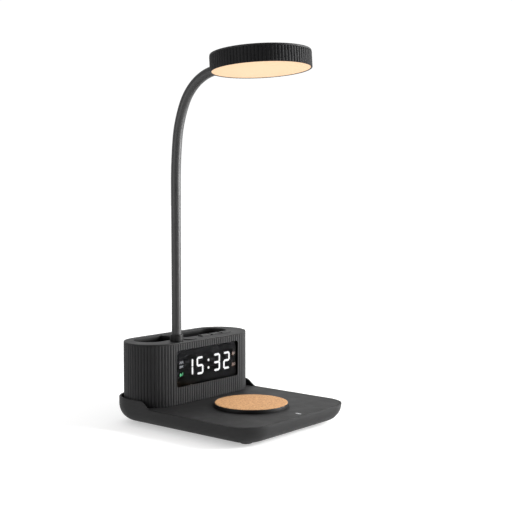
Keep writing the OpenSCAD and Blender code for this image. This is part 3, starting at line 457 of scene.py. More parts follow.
def opal(name):
    """Opal acrylic lit from behind: brightest in the middle, a little warmer to the rim."""
    finish, tree, shader = fresh_finish(name, (0.16, 0.13, 0.09), 0.6, Specular_IOR_Level=0.05)
    to_centre = (-head_centre[0], -head_centre[1], 0)
    where = node(tree, "ShaderNodeMapping", {"Vector": place(tree), "Location": to_centre}).outputs[0]
    flat = node(tree, "ShaderNodeVectorMath", {0: where, 1: (1, 1, 0)}, operation="MULTIPLY").outputs[0]
    off_centre = node(tree, "ShaderNodeVectorMath", {0: flat}, operation="LENGTH").outputs["Value"]
    rim = spread(tree, off_centre, 0.020, 0.049, 0, 1)
    tree.links.new(blend_colour(tree, rim, (1.0, 0.66, 0.40), (1.0, 0.63, 0.37)),
                   shader.inputs["Emission Color"])
    shader.inputs["Emission Strength"].default_value = 0.80
    return finish


opal_finish = opal("opal_acrylic")

# %% [markdown]
# ## The tray
# The lower shell is one bowl-sided moulding. Its side is a quarter circle, and at the back it
# rises into a cradle round the housing, with an S-shaped slope in front. One profile is carried
# round the outline, and the height of its rim changes from station to station.

# %% Sizes of the tray
tray_w, tray_d, tray_r = 170 * MM, 197 * MM, 29.5 * MM
tray_top, tray_low, side_r = 20.5 * MM, 2.1 * MM, 18.4 * MM
rim_t, rim_soft = 2.2 * MM, 0.7 * MM
plate_z = tray_top - 2.2 * MM
cradle_h, slope_y, slope_l = 7.8 * MM, 42.2 * MM, 16 * MM
notch_half, notch_z = 10 * MM, tray_top + 2.5 * MM


def rim_height(x, y):
    """Height of the rim: level in front, half a cosine wave up the slope, level at the back,
    and cut down to the notch where the power inlet comes out."""
    t = np.clip((y - slope_y) / slope_l + 0.5, 0, 1)
    z = tray_top + cradle_h * (1 - np.cos(math.pi * t)) / 2
    return np.where((np.abs(x) < notch_half) & (y > 0), notch_z, z)


def insert_stations(line, xs):
    """Swaps the stations of the straight back, as far as the outermost of some x, for those x."""
    core, out = line
    xs = np.sort(xs)[::-1]
    hair = 1e-9
    back = (out[:, 1] > 0.9999) & (core[:, 0] < xs[0] + hair) & (core[:, 0] > xs[-1] - hair)
    first, last = np.nonzero(back)[0][[0, -1]]
    new_core = np.stack([xs, np.full(len(xs), core[first, 1])], 1)
    new_out = np.tile([0.0, 1.0], (len(xs), 1))
    return (np.concatenate([core[:first], new_core, core[last + 1:]]),
            np.concatenate([out[:first], new_out, out[last + 1:]]))


def tray_shell():
    """The profile: up the quarter circle of the side, over the rounded rim, down its inside and
    under the top plate. Only the rim's part of it rises and falls with rim_height."""
    line = outline(tray_w, tray_d, tray_r, 28, 1.5 * MM)
    beside = np.array([-2, -0.6, -0.02, 0.02, 0.6, 2]) * MM
    line = insert_stations(line, np.concatenate([beside - notch_half, beside + notch_half]))
    edge = line[0] + tray_r * line[1]
    top = rim_height(edge[:, 0], edge[:, 1])
    n = len(edge)
    arc = np.radians(np.linspace(-90, 0, 19))
    side = np.stack([tray_r - side_r + side_r * np.cos(arc), tray_low + side_r * (1 + np.sin(arc))], 1)
    floor_edge = [[tray_r - side_r - 1 * MM, tray_low]]
    inner, under = tray_r - rim_t, plate_z - 1 * MM
    quarter = np.radians(np.linspace(0, 90, 6))
    sin, cos = rim_soft * np.sin(quarter), rim_soft * np.cos(quarter)
    up = np.stack([tray_r - rim_soft + cos, sin - rim_soft], 1)
    down = np.stack([inner + rim_soft - sin, cos - rim_soft], 1)
    rim = np.tile(np.concatenate([up, down]), (n, 1, 1))
    rim[:, :, 1] += top[:, None]
    before = np.tile(np.concatenate([floor_edge, side]), (n, 1, 1))
    after = np.tile([[inner, under], [inner - 3 * MM, under]], (n, 1, 1))
    return solid_of_grid("tray_shell", carry(line, np.concatenate([before, rim, after], 1)))


tray = tray_shell()
hand_over(tray, charcoal, "base", "base_shell")
print("tray shell:", len(tray.data.polygons), "faces")

# %% [markdown]
# ## The fluted housing
# Upright ribs wrap the whole wall. A rib's section is a flattened arch, so the groove between
# two ribs is a narrow V with soft shoulders. The wall is a loop: out along the flutes and back
# along the smooth inside, and a window is cut through its front with a boolean.

# %% Flutes
flute_depth = 0.8 * MM
arch_power = 2.4  # 2 would be an ellipse, and more is flatter on top
rib_steps = np.array([0.004, 0.05, 0.14, 0.26, 0.38, 0.5, 0.62, 0.74, 0.86, 0.95, 0.996])


def flute(arc_length, width):
    """Depth below the crest at a distance round the wall: a flattened arch across each rib, whose
    height is the square root of one less a power of the distance from the rib's middle."""
    across = np.abs(2 * np.mod(arc_length / width, 1) - 1)
    return flute_depth * (1 - np.sqrt(np.maximum(0, 1 - across ** arch_power)))


def fluted_outline(l, d, ribs):
    """Stations round a stadium (or a circle, if l equals d), with the flute's depth at each: along
    the front, round the right end, back along the rear and round the left end. Each rib has its
    stations at the same shares of its width, and they are closest at the groove."""
    a, r = l - d, d / 2
    end = math.pi * r
    around = 2 * (a + end)
    s = (np.arange(ribs)[:, None] + rib_steps).ravel() / ribs * around
    legs = [s < a, s < a + end, s < 2 * a + end]
    right, left = (s - a) / r, (s - 2 * a - end) / r
    still = np.zeros_like(s)
    x = np.select(legs, [s - a / 2, still + a / 2, a / 2 - (s - a - end)], -a / 2)
    out_x = np.select(legs, [still, np.sin(right), still], -np.sin(left))
    out_y = np.select(legs, [still - 1, -np.cos(right), still + 1], np.cos(left))
    return (np.stack([x, still], 1), np.stack([out_x, out_y], 1)), flute(s, around / ribs)


def fluted_wall(name, l, d, ribs, low, high, inner_profile):
    """A fluted tube: crest line out, with a small chamfer at both ends, and a plain inside."""
    line, drop = fluted_outline(l, d, ribs)
    r, c, n = d / 2, 0.35 * MM, len(drop)
    outer = np.stack([np.stack([r - drop + inward, np.full(n, z)], 1) for inward, z in
                      ((-c, low), (0, low + c), (0, high - c), (-c, high))], 1)
    inside = np.tile(inner_profile, (n, 1, 1))
    return solid_of_grid(name, carry(line, np.concatenate([outer, inside], 1)), loop=True)


print("deepest flute:", round(1000 * float(flute(np.array([0.0]), 1.0)[0]), 2), "mm")

# %% [markdown]
# Openings are cut with a boolean, as a mill would. It keeps the flutes as they are up to the edge
# of the hole, which a changed grid couldn't do. The cutter is a block with round corners, made
# standing, and laid along Y where it goes through the front or the back.

# %% Cutting with a boolean
cutter_l = 6 * MM


def cut(piece, cutter, operation="DIFFERENCE"):
    """Applies one exact boolean of cutter on piece, and removes the cutter."""
    step = piece.modifiers.new("cut", "BOOLEAN")
    step.operation, step.object, step.solver = operation, cutter, "EXACT"
    graph = bpy.context.evaluated_depsgraph_get()
    result = bpy.data.meshes.new_from_object(piece.evaluated_get(graph))
    piece.modifiers.clear()
    piece.data = result
    bpy.data.objects.remove(cutter)
    smooth_by_angle(piece)
    return piece


def block(name, w, d, r, low, high, x, y, steps):
    """A plain block with round corners, standing from low to high at x, y."""
    grid = carry(outline(w, d, r, steps), np.array([[r, low], [r, high]]))
    return solid_of_grid(name, move(grid, x, y))


def stand_up(grid):
    """Turns a shape that was made lying down so that its height runs along -Y."""
    return np.stack([grid[..., 0], -grid[..., 2], grid[..., 1]], -1)


def cutter_through(name, w, h, r, y, z):
    """A block with round corners that runs from y towards the front, with its middle at z."""
    grid = carry(outline(w, h, r, 8), np.array([[r, 0], [r, cutter_l]]))
    return solid_of_grid(name, move(stand_up(grid), 0, y, z))


# %% [markdown]
# The housing's wall has two openings: a wide one in front, which the clock's window fills, and a
# small one at the back for the power inlet.

# %% Housing wall with its openings
house_w, house_d, house_y = 164.6 * MM, 64.4 * MM, 63.6 * MM
deck_z, house_top = 84.9 * MM, 86.3 * MM
house_front, house_back = house_y - house_d / 2, house_y + house_d / 2
house_t, house_ribs = 2.2 * MM, 115
window_w, window_h, window_z, window_r = 97 * MM, 38.7 * MM, 58.4 * MM, 2.5 * MM
window_gap = 0.1 * MM
inlet_w, inlet_h, inlet_r, inlet_z = 9.6 * MM, 3.8 * MM, 1.2 * MM, 28.4 * MM


def housing_wall():
    inner = house_d / 2 - house_t
    wall = fluted_wall("housing_wall", house_w, house_d, house_ribs, tray_top, deck_z,
                       [(inner, deck_z), (inner, tray_top)])
    wall.data.transform(Matrix.Translation((0, house_y, 0)))
    cut(wall, cutter_through("opening", window_w + window_gap, window_h + window_gap, window_r,
                             house_front + 4 * MM, window_z))
    return cut(wall, cutter_through("slot", inlet_w, inlet_h, inlet_r, house_back + 3 * MM, inlet_z))


housing = housing_wall()
hand_over(housing, charcoal_wall, "base", "housing_shell")
print("housing wall:", len(housing.data.polygons), "faces")

# %% [markdown]
# ## The deck and its pen well
# The smooth top is a separate moulding: a thin slab with a rounded rim, and a well that hangs
# from it. The well's cutter has a flared mouth and a rounded floor, so one cut gives both the
# soft lip and the fillet at the bottom. One thin divider stands in it, nearly up to the top.

# %% Deck
well_w, well_d, well_x, well_y = 131 * MM, 35 * MM, -1.512 * MM, 70.5 * MM
well_floor, well_t, well_lip, well_soft = 34.3 * MM, 1.6 * MM, 1.1 * MM, 1.5 * MM
divider_x, divider_t, divider_soft, divider_sink = -15.012 * MM, 1.6 * MM, 0.75 * MM, 0.6 * MM
button_x, button_y, button_r = -18.2 * MM, 41.95 * MM, 7.9 * MM
key_w, key_d, key_y, key_x0, key_pitch = 14.4 * MM, 6.8 * MM, 46.15 * MM, 9.9 * MM, 16.3 * MM
control_gap, key_hole_r, past = 0.3 * MM, 0.8 * MM, 3 * MM
neck_x, neck_y = -38.8 * MM, 41.2 * MM


def stadium(l, d):
    return outline(l, d, d / 2, 40)


def deck_slab():
    """The slab's profile starts where the edge's lower round does: its bottom is one flat face."""
    r = house_d / 2
    edge = r - 0.1 * MM
    side = rounded([(0.4 * MM, deck_z, 0), (edge, deck_z, 0.2 * MM), (edge, house_top, 0.6 * MM),
                    (r - 3 * MM, house_top, 0), (r - 4 * MM, house_top, 0)])[1:]
    return solid_of_grid("deck", move(carry(stadium(house_w, house_d), side), 0, house_y))


def well_hollow():
    """The well's cutter: a floor with a rounded edge, a plain wall, and a quarter circle outwards
    for the lip."""
    r, start = well_d / 2, house_top - well_lip
    hollow = rounded([(0.5 * MM, well_floor, 0), (r, well_floor, well_soft), (r, start, 0),
                      (r, house_top, 0)])
    turn = np.radians(np.linspace(0, 90, 7))
    flare = np.stack([r + well_lip * (1 - np.cos(turn)), start + well_lip * np.sin(turn)], 1)
    profile = np.concatenate([hollow[:-1], flare[1:], [[r + well_lip, house_top + 2 * MM]]])
    return solid_of_grid("hollow", move(carry(stadium(well_w, well_d), profile), well_x, well_y))


def divider():
    """A thin leaf that reaches into the well's wall at both ends, with a rounded crown."""
    low, crown = well_floor - 0.4 * MM, house_top - divider_sink
    plate = rounded([(divider_soft, low, 0), (divider_soft, crown, 0.5 * MM),
                     (divider_soft - 0.55 * MM, crown, 0)])
    leaf = carry(outline(divider_t, well_d + 2.4 * MM, divider_soft, 6), plate)
    return solid_of_grid("divider", move(leaf, divider_x, well_y))


def deck():
    top = deck_slab()
    cut(top, block("tub", well_w + 2 * well_t, well_d + 2 * well_t, well_d / 2 + well_t,
                   well_floor - well_t, house_top - 0.7 * MM, well_x, well_y, 40), "UNION")
    cut(top, well_hollow())
    cut(top, divider(), "UNION")
    button_hole = 2 * button_r + control_gap
    holes = [(button_x, button_y, button_hole, button_hole, button_r, 24)]
    holes += [(key_x0 + k * key_pitch, key_y, key_w + control_gap, key_d + control_gap, key_hole_r, 6)
              for k in range(3)]
    for x, y, w, d, r, steps in holes:
        cut(top, block("hole", w, d, r, deck_z - past, house_top + past, x, y, steps))
    return top


top_deck = deck()
hand_over(top_deck, charcoal_deck, "base", "top_deck")
print("deck:", len(top_deck.data.polygons), "faces")

# %% [markdown]
# ## Button and keys
# The round button is dished for a fingertip, and the keys are flat bars with soft edges. All four
# reach down to the tabs below the deck, and each one moves with its own body, so it sinks when
# pressed.

# %% Button and keys
tab_z, button_proud, key_proud = 83.8 * MM, 0.9 * MM, 1.2 * MM
dish_r, dish_depth, key_r = 0.86 * button_r, 0.45 * MM, 0.65 * MM


def dished_button():
    """The dish is a shallow bowl: its depth is dish_depth times one less the square of
    rho / dish_r."""
    top = house_top + button_proud
    rim = rounded([(button_r * 0.98, tab_z, 0), (button_r, tab_z, 0.1 * MM), (button_r, top, 0.5 * MM),
                   (0.87 * button_r, top, 0)])
    rho = np.linspace(dish_r, 0.02 * button_r, 12)
    dish = np.stack([rho, top - dish_depth * (1 - (rho / dish_r) ** 2)], 1)
    grid = carry(ring(button_r, 72), np.concatenate([rim, dish]))
    return solid_of_grid("power_button_cap", move(grid, button_x, button_y))


def key_bar(name, x):
    top, r = house_top + key_proud, key_r
    side = rounded([(r * 0.9, tab_z, 0), (r, tab_z, 0.05 * MM), (r, top, 0.45 * MM), (r - 0.6 * MM, top, 0),
                    (r - 0.64 * MM, top, 0)])
    return solid_of_grid(name, move(carry(outline(key_w, key_d, r, 6, 0.8 * MM), side), x, key_y))


hand_over(dished_button(), charcoal_deck, "power_button_body", "power_button")
for k in range(3):
    key = f"key_{k + 1}"
    cap = key_bar(key + "_cap", key_x0 + k * key_pitch)
    hand_over(cap, black_ring, key + "_body", key)
print("packed pieces stood for so far:", len(stood_for))

# %% [markdown]
# ## Charging pad
# A low black ring stands on the tray, and the cork disc lies in it, standing a hair proud. Both
# are profiles turned about the pad's centre.

# %% Ring and cork
pad_y, cork_r, ring_r, fit = -29.1 * MM, 38 * MM, 39.4 * MM, 0.05 * MM
ring_low, ring_top, cork_low, cork_top = 18.6 * MM, 24.4 * MM, 23.2 * MM, 24.8 * MM


def pad_ring():
    """A loop: up the outside, over the rim, down to the ledge the cork lies on, and back down."""
    wall = rounded([(31 * MM, ring_low, 0), (31 * MM, tray_top, 0), (ring_r, tray_top, 0.2 * MM),
                    (ring_r, ring_top, 0.7 * MM), (cork_r + fit, ring_top, 0.2 * MM),
                    (cork_r + fit, cork_low, 0), (30 * MM, cork_low, 0), (30 * MM, ring_low, 0)])
    return solid_of_grid("pad_ring", move(carry(ring(ring_r, 160), wall), 0, pad_y), loop=True)


def cork_disc():
    """A plain disc with a small round at its upper edge and a flat face on both sides."""
    middle = cork_r - 2 * MM
    disc = rounded([(middle, cork_low, 0), (cork_r, cork_low, 0.1 * MM), (cork_r, cork_top, 0.35 * MM),
                    (cork_r - 1.2 * MM, cork_top, 0), (middle, cork_top, 0)])
    return solid_of_grid("cork_disc", move(carry(ring(cork_r, 160), disc), 0, pad_y))


hand_over(pad_ring(), black_ring, "base", "charger_ring")
hand_over(cork_disc(), cork, "base", "cork_pad")
print("cork disc:", round(2000 * cork_r), "mm across")

# %% [markdown]
# ## The clock
# The window is one smooth pane, set a hair proud of the ribs. It is a thin box with a soft edge,
# made lying down like the other blocks and then stood up.

# %% Window
pane_back, pane_t = 33.1 * MM, 2 * MM


def window_pane():
    middle = window_r - 1.5 * MM
    edge = rounded([(middle, 0, 0), (window_r, 0, 0.2 * MM), (window_r, pane_t, 0.25 * MM),
                    (window_r - 1.4 * MM, pane_t, 0), (middle, pane_t, 0)], 3)
    grid = carry(outline(window_w, window_h, window_r, 8), edge)
    return solid_of_grid("window_pane", move(stand_up(grid), 0, pane_back, window_z))


hand_over(window_pane(), window_finish, "base", "display_window")

# %% [markdown]
# On the real clock the whole face behind the window is black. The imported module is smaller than
# the window, so a thin sheet of the same gloss fills the window up to its edge. It stands for no
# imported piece.

# %% Mask behind the pane
mask_back, mask_t, mask_inset = 33.49 * MM, 0.06 * MM, 0.15 * MM


def window_mask():
    r = window_r - mask_inset
    middle = r - 1.4 * MM
    edge = rounded([(middle, 0, 0), (r, 0, 0), (r, mask_t, 0), (middle, mask_t, 0)])
    grid = carry(outline(window_w, window_h, window_r, 8), edge)
    return solid_of_grid("window_mask", move(stand_up(grid), 0, mask_back, window_z))


sheet = window_mask()
sheet.data.materials.append(module_finish)
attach(sheet, "base")
print("the sheet's front is", round(1000 * (mask_back - mask_t - pane_back), 2), "mm behind the pane")

# %% [markdown]
# Each segment of a digit is a bar with pointed ends, softened by a small radius, so that two
# neighbours meet on a diagonal: the six corners of a stretched hexagon are moved in by the
# radius, and an arc of that radius is drawn round each. The marks beside the digits are made in
# the same way.

# %% Soft outline of any convex shape
def soft_outline(corners, r, steps=4):
    """Core and outward direction round a convex shape, anticlockwise: each corner moves in by r
    along both its sides' normals, and the direction turns from one normal to the next."""
    c = np.array(corners, float)
    side = np.roll(c, -1, 0) - c
    normal = np.stack([side[:, 1], -side[:, 0]], 1) / np.hypot(*side.T)[:, None]
    before = np.roll(normal, 1, 0)
    share = 1 + (before * normal).sum(1)
    core = c - r * (before + normal) / share[:, None]
    start = np.arctan2(before[:, 1], before[:, 0])
    turn = np.mod(np.arctan2(normal[:, 1], normal[:, 0]) - start, 2 * math.pi)
    angle = start[:, None] + turn[:, None] * np.linspace(0, 1, steps + 1)
    return (np.repeat(core, steps + 1, 0),
            np.stack([np.cos(angle), np.sin(angle)], -1).reshape(-1, 2))


def merged(name, pieces):
    """One mesh from several: their vertices one after the other, and their faces shifted."""
    points, faces, shift = [], [], 0
    for piece in pieces:
        mesh = piece.data
        flat = np.empty(3 * len(mesh.vertices))
        mesh.vertices.foreach_get("co", flat)
        points.append(flat.reshape(-1, 3))
        faces += [[v + shift for v in face.vertices] for face in mesh.polygons]
        shift += len(mesh.vertices)
        bpy.data.objects.remove(piece)
    mesh = bpy.data.meshes.new(name)
    mesh.from_pydata(np.concatenate(points), [], faces)
    made = bpy.data.objects.new(name, mesh)
    bpy.context.collection.objects.link(made)
    smooth_by_angle(made)
    return made


# %% Digits
digit_h, digit_w, segment_w, segment_t = 19 * MM, 10.5 * MM, 2.1 * MM, 0.3 * MM
segment_gap, segment_soft = 1.0 * MM, 0.45 * MM
digits_back, digits_z = 33.5 * MM, window_z - 0.7 * MM
colon_x, colon_gap, digit_gap = 2.2 * MM, 13.4 * MM, 16 * MM
dot_r, dot_z = 1.35 * MM, 4.2 * MM
rise, half_w = (digit_h - segment_w) / 2, (digit_w - segment_w) / 2
segment_at = {"a": (0, 2, 1), "g": (0, 0, 1), "d": (0, -2, 1), "b": (1, 1, 0), "c": (1, -1, 0),
              "e": (-1, -1, 0), "f": (-1, 1, 0)}  # steps across, half steps up, and 1 if it lies flat


def raised(line, radius, x, z):
    """A flat shape on the clock's face: its outline stood up, with a softened front edge."""
    profile = rounded([(0.3 * radius, 0, 0), (radius, 0, 0), (radius, segment_t, 0.1 * MM),
                       (0.3 * radius, segment_t, 0)], 3)
    return solid_of_grid("mark", move(stand_up(carry(line, profile)), x, digits_back, z))


def segment(x, z, length, flat):
    h, w = length / 2, segment_w / 2
    corners = np.array([[w, h - w], [0, h], [-w, h - w], [-w, w - h], [0, -h], [w, w - h]])
    if flat:
        corners = np.stack([-corners[:, 1], corners[:, 0]], 1)
    return raised(soft_outline(corners, segment_soft), segment_soft, x, z)


def clock_face():
    """Two digits on each side of the colon, a fixed distance apart."""
    pieces = []
    places = [colon_x - colon_gap - digit_gap, colon_x - colon_gap, colon_x + colon_gap,
              colon_x + colon_gap + digit_gap]
    for x, shown in zip(places, ("bc", "afgcd", "abgcd", "abged")):
        for letter in shown:
            across, up, flat = segment_at[letter]
            length = (2 * half_w if flat else rise) + 0.5 * segment_w - segment_gap
            pieces.append(segment(x + across * half_w, digits_z + up * rise / 2, length, flat))
    pieces += [raised(ring(dot_r, 24), dot_r, colon_x, digits_z + z) for z in (dot_z, -dot_z)]
    return merged("clock_digits_lit", pieces)


digits_lit = clock_face()
hand_over(digits_lit, segment_finish, "base", "clock_digits")
print("digits:", len(digits_lit.data.polygons), "faces")

# %% [markdown]
# Small marks stand at both ends of the face: a.m. and p.m., and a green bell at the left, and two
# amber bells with a number at the right. The letters come from Blender's own font, made a mesh
# before they are put in place.

# %% Marks beside the digits
def letters(text, size, x, z):
    """Letters on the clock's face: a text object's mesh, stood up and moved."""
    curve = bpy.data.curves.new("letters", "FONT")
    curve.body, curve.size, curve.extrude = text, size, segment_t / 2
    curve.align_x, curve.align_y = "CENTER", "CENTER"
    written = bpy.data.objects.new("letters", curve)
    bpy.context.collection.objects.link(written)
    graph = bpy.context.evaluated_depsgraph_get()
    mesh = bpy.data.meshes.new_from_object(written.evaluated_get(graph))
    bpy.data.objects.remove(written)
    upright = Matrix.Rotation(math.radians(90), 4, "X")
    mesh.transform(Matrix.Translation((x, digits_back - segment_t / 2, z)) @ upright)
    made = bpy.data.objects.new("letters", mesh)
    bpy.context.collection.objects.link(made)
    return made


def bell(x, z, size):
    """A bell: a round-topped body, its rim and its clapper, as three flat shapes."""
    u, r = size / 10, size / 30
    body = [(-3 * u, -2.6 * u), (3 * u, -2.6 * u), (2.3 * u, 2.4 * u), (1.1 * u, 3.8 * u),
            (-1.1 * u, 3.8 * u), (-2.3 * u, 2.4 * u)]
    rim = [(-4.2 * u, -3.4 * u), (4.2 * u, -3.4 * u), (4.2 * u, -2.3 * u), (-4.2 * u, -2.3 * u)]
    return [raised(soft_outline(body, r), r, x, z), raised(soft_outline(rim, r), r, x, z),
            raised(ring(1.1 * u, 16), 1.1 * u, x, z - 4.4 * u)]


def clock_marks():
    """The three groups of marks, each with its finish, placed from their row and column."""
    left, right, top, low = -39.9 * MM, 43.6 * MM, window_z + 5.8 * MM, window_z - 6.5 * MM
    soft, small, large = 0.15 * MM, 3.4 * MM, 4.2 * MM
    halves = [letters("AM", 3.9 * MM, left, top), letters("PM", 3.9 * MM, left, top - 4.5 * MM)]
    slash = soft_outline([(-0.35 * MM, -1.2 * MM), (0.35 * MM, -1.5 * MM), (0.5 * MM, 1.7 * MM),
                          (-0.1 * MM, 1.4 * MM)], soft)
    alarm = bell(left - 1.0 * MM, low - 0.3 * MM, small) + [raised(slash, soft, left + 1.9 * MM, low)]
    bells = bell(right - 1.2 * MM, top, large) + bell(right - 1.2 * MM, low, large)
    numbers = [letters("1", 4 * MM, right + 1.5 * MM, top), letters("2", 4 * MM, right + 1.5 * MM, low)]
    return [(merged("day_halves", halves), mark_white), (merged("alarm_mark", alarm), mark_green),
            (merged("alarm_numbers", bells + numbers), mark_amber)]


for mark, finish in clock_marks():
    hand_over(mark, finish, "base", "status_lights")
    print(mark.name + ":", len(mark.data.polygons), "faces")

# %% [markdown]
# ## The bendable neck
# The centreline rises straight and then bends three times, each time more tightly. On the real lamp one
# silicone sleeve covers it all. Here it is cut at the middle of each link, where nothing bends, into pieces
# that each cross one joint.

# %% Neck centreline
bend_r = np.array([430, 116.5, 54.3]) * MM
bend_a = np.radians([6.3, 19, 61])
neck_rise = 163.7 * MM
bend_start = neck_rise + np.concatenate([[0], np.cumsum(bend_r * bend_a)])
lean_start = np.concatenate([[0], np.cumsum(bend_a)])


def bend_points():
    """Start of each bend and its centre: a centre lies one radius from the start, square to the
    neck, towards the user."""
    start, centres = np.array([neck_y, house_top + neck_rise]), []
    for r, lean, turn in zip(bend_r, lean_start, bend_a):
        centre = start - r * np.array([math.cos(lean), math.sin(lean)])
        start = centre + r * np.array([math.cos(lean + turn), math.sin(lean + turn)])
        centres.append(centre)
    return np.array(centres)


bend_centres = bend_points()


def neck_at(s):
    """Point and lean at lengths s along the neck: straight at first, then on the bend's circle."""
    s = np.asarray(s, float)
    k = np.clip(np.searchsorted(bend_start, s, side="right") - 1, 0, 2)
    lean = lean_start[k] + (s - bend_start[k]) / bend_r[k]
    over = s > bend_start[3]
    lean = np.where(over, lean_start[3], lean)
    y = bend_centres[k, 0] + bend_r[k] * np.cos(lean)
    z = bend_centres[k, 1] + bend_r[k] * np.sin(lean)
    past = np.where(over, s - bend_start[3], 0)
    y, z = y - past * np.sin(lean), z + past * np.cos(lean)
    straight = s < neck_rise
    return (np.where(straight, neck_y, y), np.where(straight, house_top + s, z),
            np.where(straight, 0, lean))


def tube(s, r, sides):
    """Grid of a round tube: at each length a circle square to the neck."""
    y, z, lean = (v[:, None] for v in neck_at(s))
    a = 2 * math.pi * np.arange(sides)[None] / sides
    return np.stack(np.broadcast_arrays(neck_x + r * np.cos(a), y + r * np.sin(a) * np.cos(lean),
                                        z + r * np.sin(a) * np.sin(lean)), -1)


neck_l = bend_start[3]
print("neck:", round(1000 * neck_l, 1), "mm long")

# %% [markdown]
# The joints stand where the part has them: six up the straight stretch, and two in each bend.
# The stations lie close together for a few millimetres to each side of a joint.

# %% Pieces that cross the joints
neck_joints = [j for j in frame["joints"] if j["name"].startswith("neck_bend_")]
end_l = 12 * MM
joint_s = [end_l + (neck_rise - end_l) * k / 5 for k in range(6)]
for k, stop in enumerate([bend_start[1], bend_start[2], neck_l - end_l]):
    joint_s += [bend_start[k] + (stop - bend_start[k]) * i / 2 for i in (1, 2)]
reaches = [4.5 * MM] + [6.5 * MM] * 11


def stations(k, low, high, step):
    """Lengths from low to high: close together across joint k, and a step apart elsewhere."""
    across = np.linspace(joint_s[k] - reaches[k], joint_s[k] + reaches[k], 13)
    plain = np.arange(low, high, step)
    plain = plain[np.abs(plain - joint_s[k]) > reaches[k] + 0.4 * MM]
    return np.unique(np.concatenate([[low, high], across, plain]))


def neck_pieces(name, low, high, step, wall, finish, cad, loop=False):
    """Cuts a tube between two lengths at the middle of each link, into one piece a joint. The
    wall is a function that gives the grid at some lengths."""
    ends = [low] + [(a + b) / 2 for a, b in zip(joint_s[:-1], joint_s[1:])] + [high]
    for k, joint in enumerate(neck_joints):
        grid = wall(stations(k, ends[k], ends[k + 1], step)).transpose(1, 0, 2)
        piece = solid_of_grid(f"{name}_{k + 1}", grid, loop)
        piece.data.materials.append(finish)
        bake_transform(piece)
        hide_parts(cad)
    stood_for.add(cad)
    print(name, "pieces:", len(neck_joints), "from z", round(1000 * (house_top + low), 2), "mm")


# %% Sleeve
sleeve_r, sleeve_bore = 5.15 * MM, 4.7 * MM


def sleeve_wall(s):
    """A loop: up along the outside and back down along the bore."""
    return np.concatenate([tube(s, sleeve_r, 48), tube(s[::-1], sleeve_bore, 48)])


neck_pieces("sleeve", 0.0, neck_l + 12 * MM, 1.6 * MM, sleeve_wall, silicone, "neck_sleeve",
            loop=True)

# %% [markdown]
# The lamp's lead runs inside the whole neck, from the board in the housing to the head, and it bends with
# the neck. So it is cut at the same places as the sleeve.

# %% Lead
lead_low, lead_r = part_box("neck_lead")[0][2] - house_top, 0.8 * MM


def lead_wall(s):
    return tube(s, lead_r, 12)


neck_pieces("lead", lead_low, neck_l + 26 * MM, 3 * MM, lead_wall, flat_lead, "neck_lead")

# %% [markdown]
# A collar covers the place where the neck goes into the deck. It is a turned ring, so its profile
# is carried round the neck's axis. The bore is a hair wider than the sleeve.

# %% Collar
collar_r, collar_top, collar_bore = 7 * MM, house_top + 7.4 * MM, sleeve_r + 0.1 * MM
collar_side = rounded([(collar_bore, house_top, 0), (collar_r, house_top, 0.1 * MM),
                       (collar_r, collar_top, 0.8 * MM), (collar_bore, collar_top, 0.3 * MM),
                       (collar_bore, house_top + 2 * MM, 0)])
collar = solid_of_grid("collar", move(carry(ring(collar_r, 64), collar_side), neck_x, neck_y), loop=True)
hand_over(collar, black_ring, "base", "neck_collar")

# %% [markdown]
# ## The light head
# A flat drum: a fluted wall, a smooth top with a rounded edge, and the opal disc set into the
# bottom. It leans a few degrees with the end of the neck, so its pieces are made level at the
# origin and then turned and moved in their meshes.

# %% Head
head_r, head_h, head_t, head_ribs = 49.5 * MM, 17 * MM, 1.5 * MM, 89
lid_t, seat_h, socket_r, tip_gap = 2 * MM, 2 * MM, 6.4 * MM, 7 * MM
head_lean = float(lean_start[3]) - math.pi / 2
tip_y, tip_z = (float(v) for v in neck_at(neck_l)[:2])
head_at = (neck_x, tip_y - (head_r + tip_gap) * math.cos(head_lean),
           tip_z - (head_r + tip_gap) * math.sin(head_lean))
head_place = Matrix.Translation(head_at) @ Matrix.Rotation(head_lean, 4, "X")
low, high = -head_h / 2, head_h / 2
hole_near, hole_far = 40 * MM, 60 * MM


def head_wall():
    """The inside has a ledge: below it the disc is let in, and above it the wall is thicker. The
    hole for the neck's socket goes through the back, level, at half the height."""
    inner, lid_low = head_r - head_t, high - lid_t
    shell = fluted_wall("head_wall", 2 * head_r, 2 * head_r, head_ribs, low, lid_low,
                        [(inner - 0.9 * MM, lid_low), (inner - 0.9 * MM, low + seat_h),
                         (inner, low + seat_h), (inner, low + 0.3 * MM), (inner + 0.2 * MM, low)])
    through = np.array([[socket_r, -hole_far], [socket_r, -hole_near]])
    return cut(shell, solid_of_grid("bore", stand_up(carry(ring(1, 48), through))))


def head_cap():
    r, top = head_r - 0.2 * MM, high - 0.02 * MM
    side = rounded([(head_r - 4 * MM, high - lid_t, 0), (r, high - lid_t, 0.2 * MM), (r, top, 1.1 * MM),
                    (head_r - 3 * MM, top, 0), (head_r - 3.4 * MM, top, 0)])
    return solid_of_grid("head_cap", carry(ring(1, 180), side))


def opal_disc():
    """Its lower face turns up a little to the rim: the height grows with the eighth power of rho."""
    rho = np.linspace(head_r - head_t - 0.15 * MM, 0.6 * MM, 30)
    under = np.stack([rho, low + 0.15 * MM + 0.3 * MM * (rho / rho[0]) ** 8], 1)
    back = low + 1.95 * MM
    profile = np.concatenate([[[rho[0] - 1 * MM, back], [rho[0], back]], under])
    return solid_of_grid("opal_disc", carry(ring(1, 180), profile))


